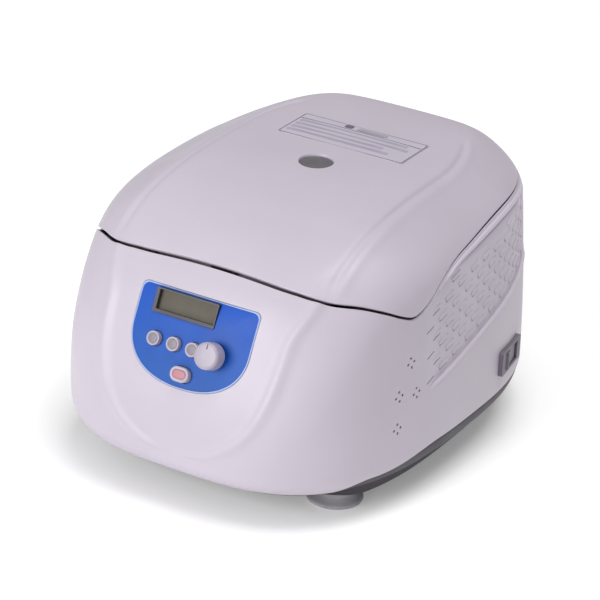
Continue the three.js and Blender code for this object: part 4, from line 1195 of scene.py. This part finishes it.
def dress_panel():
    face, rim = control_panel()
    finish_piece(face, MATERIALS["panel"], "machine", "panel", "control_panel")
    finish_piece(rim, PANEL_RIM, "machine", "panel", "control_panel")
    # The dark frame in the display opening is painted shade.
    finish_piece(display_painted_shade_frame(), MATERIALS["dark_plastic"], "machine", "dark_plastic", "control_panel")
    bodies = {"button_time": "time_key", "button_speed": "speed_key", "button_start": "start_key"}
    for name, x in BUTTON_X.items():
        ring, cap = round_key(name, x)
        finish_piece(ring, KEY_RIM, bodies[name], "buttons", name)
        finish_piece(cap, MATERIALS["buttons"], bodies[name], "buttons", name)
    ring, cap = stop_key()
    finish_piece(ring, KEY_RIM, "stop_key", "stop_button", "button_stop")
    finish_piece(cap, MATERIALS["stop_button"], "stop_key", "stop_button", "button_stop")
    finish_piece(knob(), KEY_RIM, "knob", "buttons", "control_knob")


def dress_lid_details():
    for piece, material in zip(lid_label(), (MATERIALS["label"], LABEL_INK, LABEL_FIELD)):
        finish_piece(piece, material, "lid", "label", "lid_label")
    radius = WINDOW_RADIUS - 0.2
    outline = rounded([(0, 209), (radius, 209), (radius, 212.4), (radius - 0.8, 212.7), (0, 212.9)], 0.4)
    glass = place(turned("glass_disc", outline, 96), Matrix.Translation((0, AXIS_Y, 0)))
    finish_piece(glass, MATERIALS["sight_glass"], "lid", "sight_glass", "sight_glass", "sight_glass_ring")


def dress_drive():
    finish_piece(bowl(), MATERIALS["steel"], "machine", "steel", "chamber_bowl")
    finish_piece(angle_rotor(), MATERIALS["alloy"], "spindle", "alloy", "rotor")
    finish_piece(rotor_nut(), MATERIALS["steel"], "spindle", "steel", "rotor_nut")


def dress_frame_nodes():
    """Materials and softened edges for every CAD node that stays visible."""
    slots = {entry["node"]: entry["material_slot"] for entry in frame["record"]["subparts"]}
    for name, thing in frame["nodes"].items():
        if thing.hide_render:
            continue
        thing.data.materials.clear()
        thing.data.materials.append(SWITCH_GREY if name.startswith("mains_") else MATERIALS[slots[name]])
        bevelled(thing, 0.35, 2)


def camera():
    """Long lens, a little above and to the right of the front."""
    flat = math.cos(CAMERA_ELEVATION)
    ahead = Vector((math.sin(CAMERA_AZIMUTH), -math.cos(CAMERA_AZIMUTH), 0))
    back = ahead * flat + Vector((0, 0, math.sin(CAMERA_ELEVATION)))
    right = Vector((math.cos(CAMERA_AZIMUTH), math.sin(CAMERA_AZIMUTH), 0))
    up = back.cross(right)
    rolled_right = right * math.cos(CAMERA_ROLL) + up * math.sin(CAMERA_ROLL)
    rolled_up = up * math.cos(CAMERA_ROLL) - right * math.sin(CAMERA_ROLL)
    data = bpy.data.cameras.new("camera")
    data.lens = CAMERA_LENS
    data.clip_end = 20
    thing = bpy.data.objects.new("camera", data)
    basis = Matrix((rolled_right, rolled_up, back)).transposed().to_4x4()
    thing.matrix_world = Matrix.Translation((CAMERA_TARGET + back * CAMERA_DISTANCE) * MM) @ basis
    bpy.context.scene.collection.objects.link(thing)
    bpy.context.scene.camera = thing


def soft_light(name, place_at, size, power):
    """Square area light at a place in metres, aimed at the middle of the machine."""
    data = bpy.data.lights.new(name, "AREA")
    data.size = size
    data.energy = power
    thing = bpy.data.objects.new(name, data)
    thing.location = place_at
    aim = Vector((0, 0, 0.1)) - Vector(place_at)
    thing.rotation_euler = aim.to_track_quat("-Z", "Y").to_euler()
    bpy.context.scene.collection.objects.link(thing)


def studio():
    """Plain pale floor, even surrounding light, one light ahead and one above."""
    half = 6000.0
    corners = [(-half, -half, 0), (half, -half, 0), (half, half, 0), (-half, half, 0)]
    floor = mesh_object("floor", corners, [(0, 1, 2, 3)])
    floor.data.materials.append(floor_surface())
    world = bpy.data.worlds.new("studio")
    world.use_nodes = True
    world.node_tree.nodes["Background"].inputs["Color"].default_value = (1, 1, 1, 1)
    world.node_tree.nodes["Background"].inputs["Strength"].default_value = 0.32
    bpy.context.scene.world = world
    soft_light("key", (-0.6, -2.2, 0.95), 1.3, 38)
    soft_light("top", (0.55, 0.2, 2.9), 1.8, 55)
    bpy.context.scene.view_settings.view_transform = "Standard"


dress_housing()
dress_panel()
dress_lid_details()
dress_drive()
dress_frame_nodes()
camera()
studio()
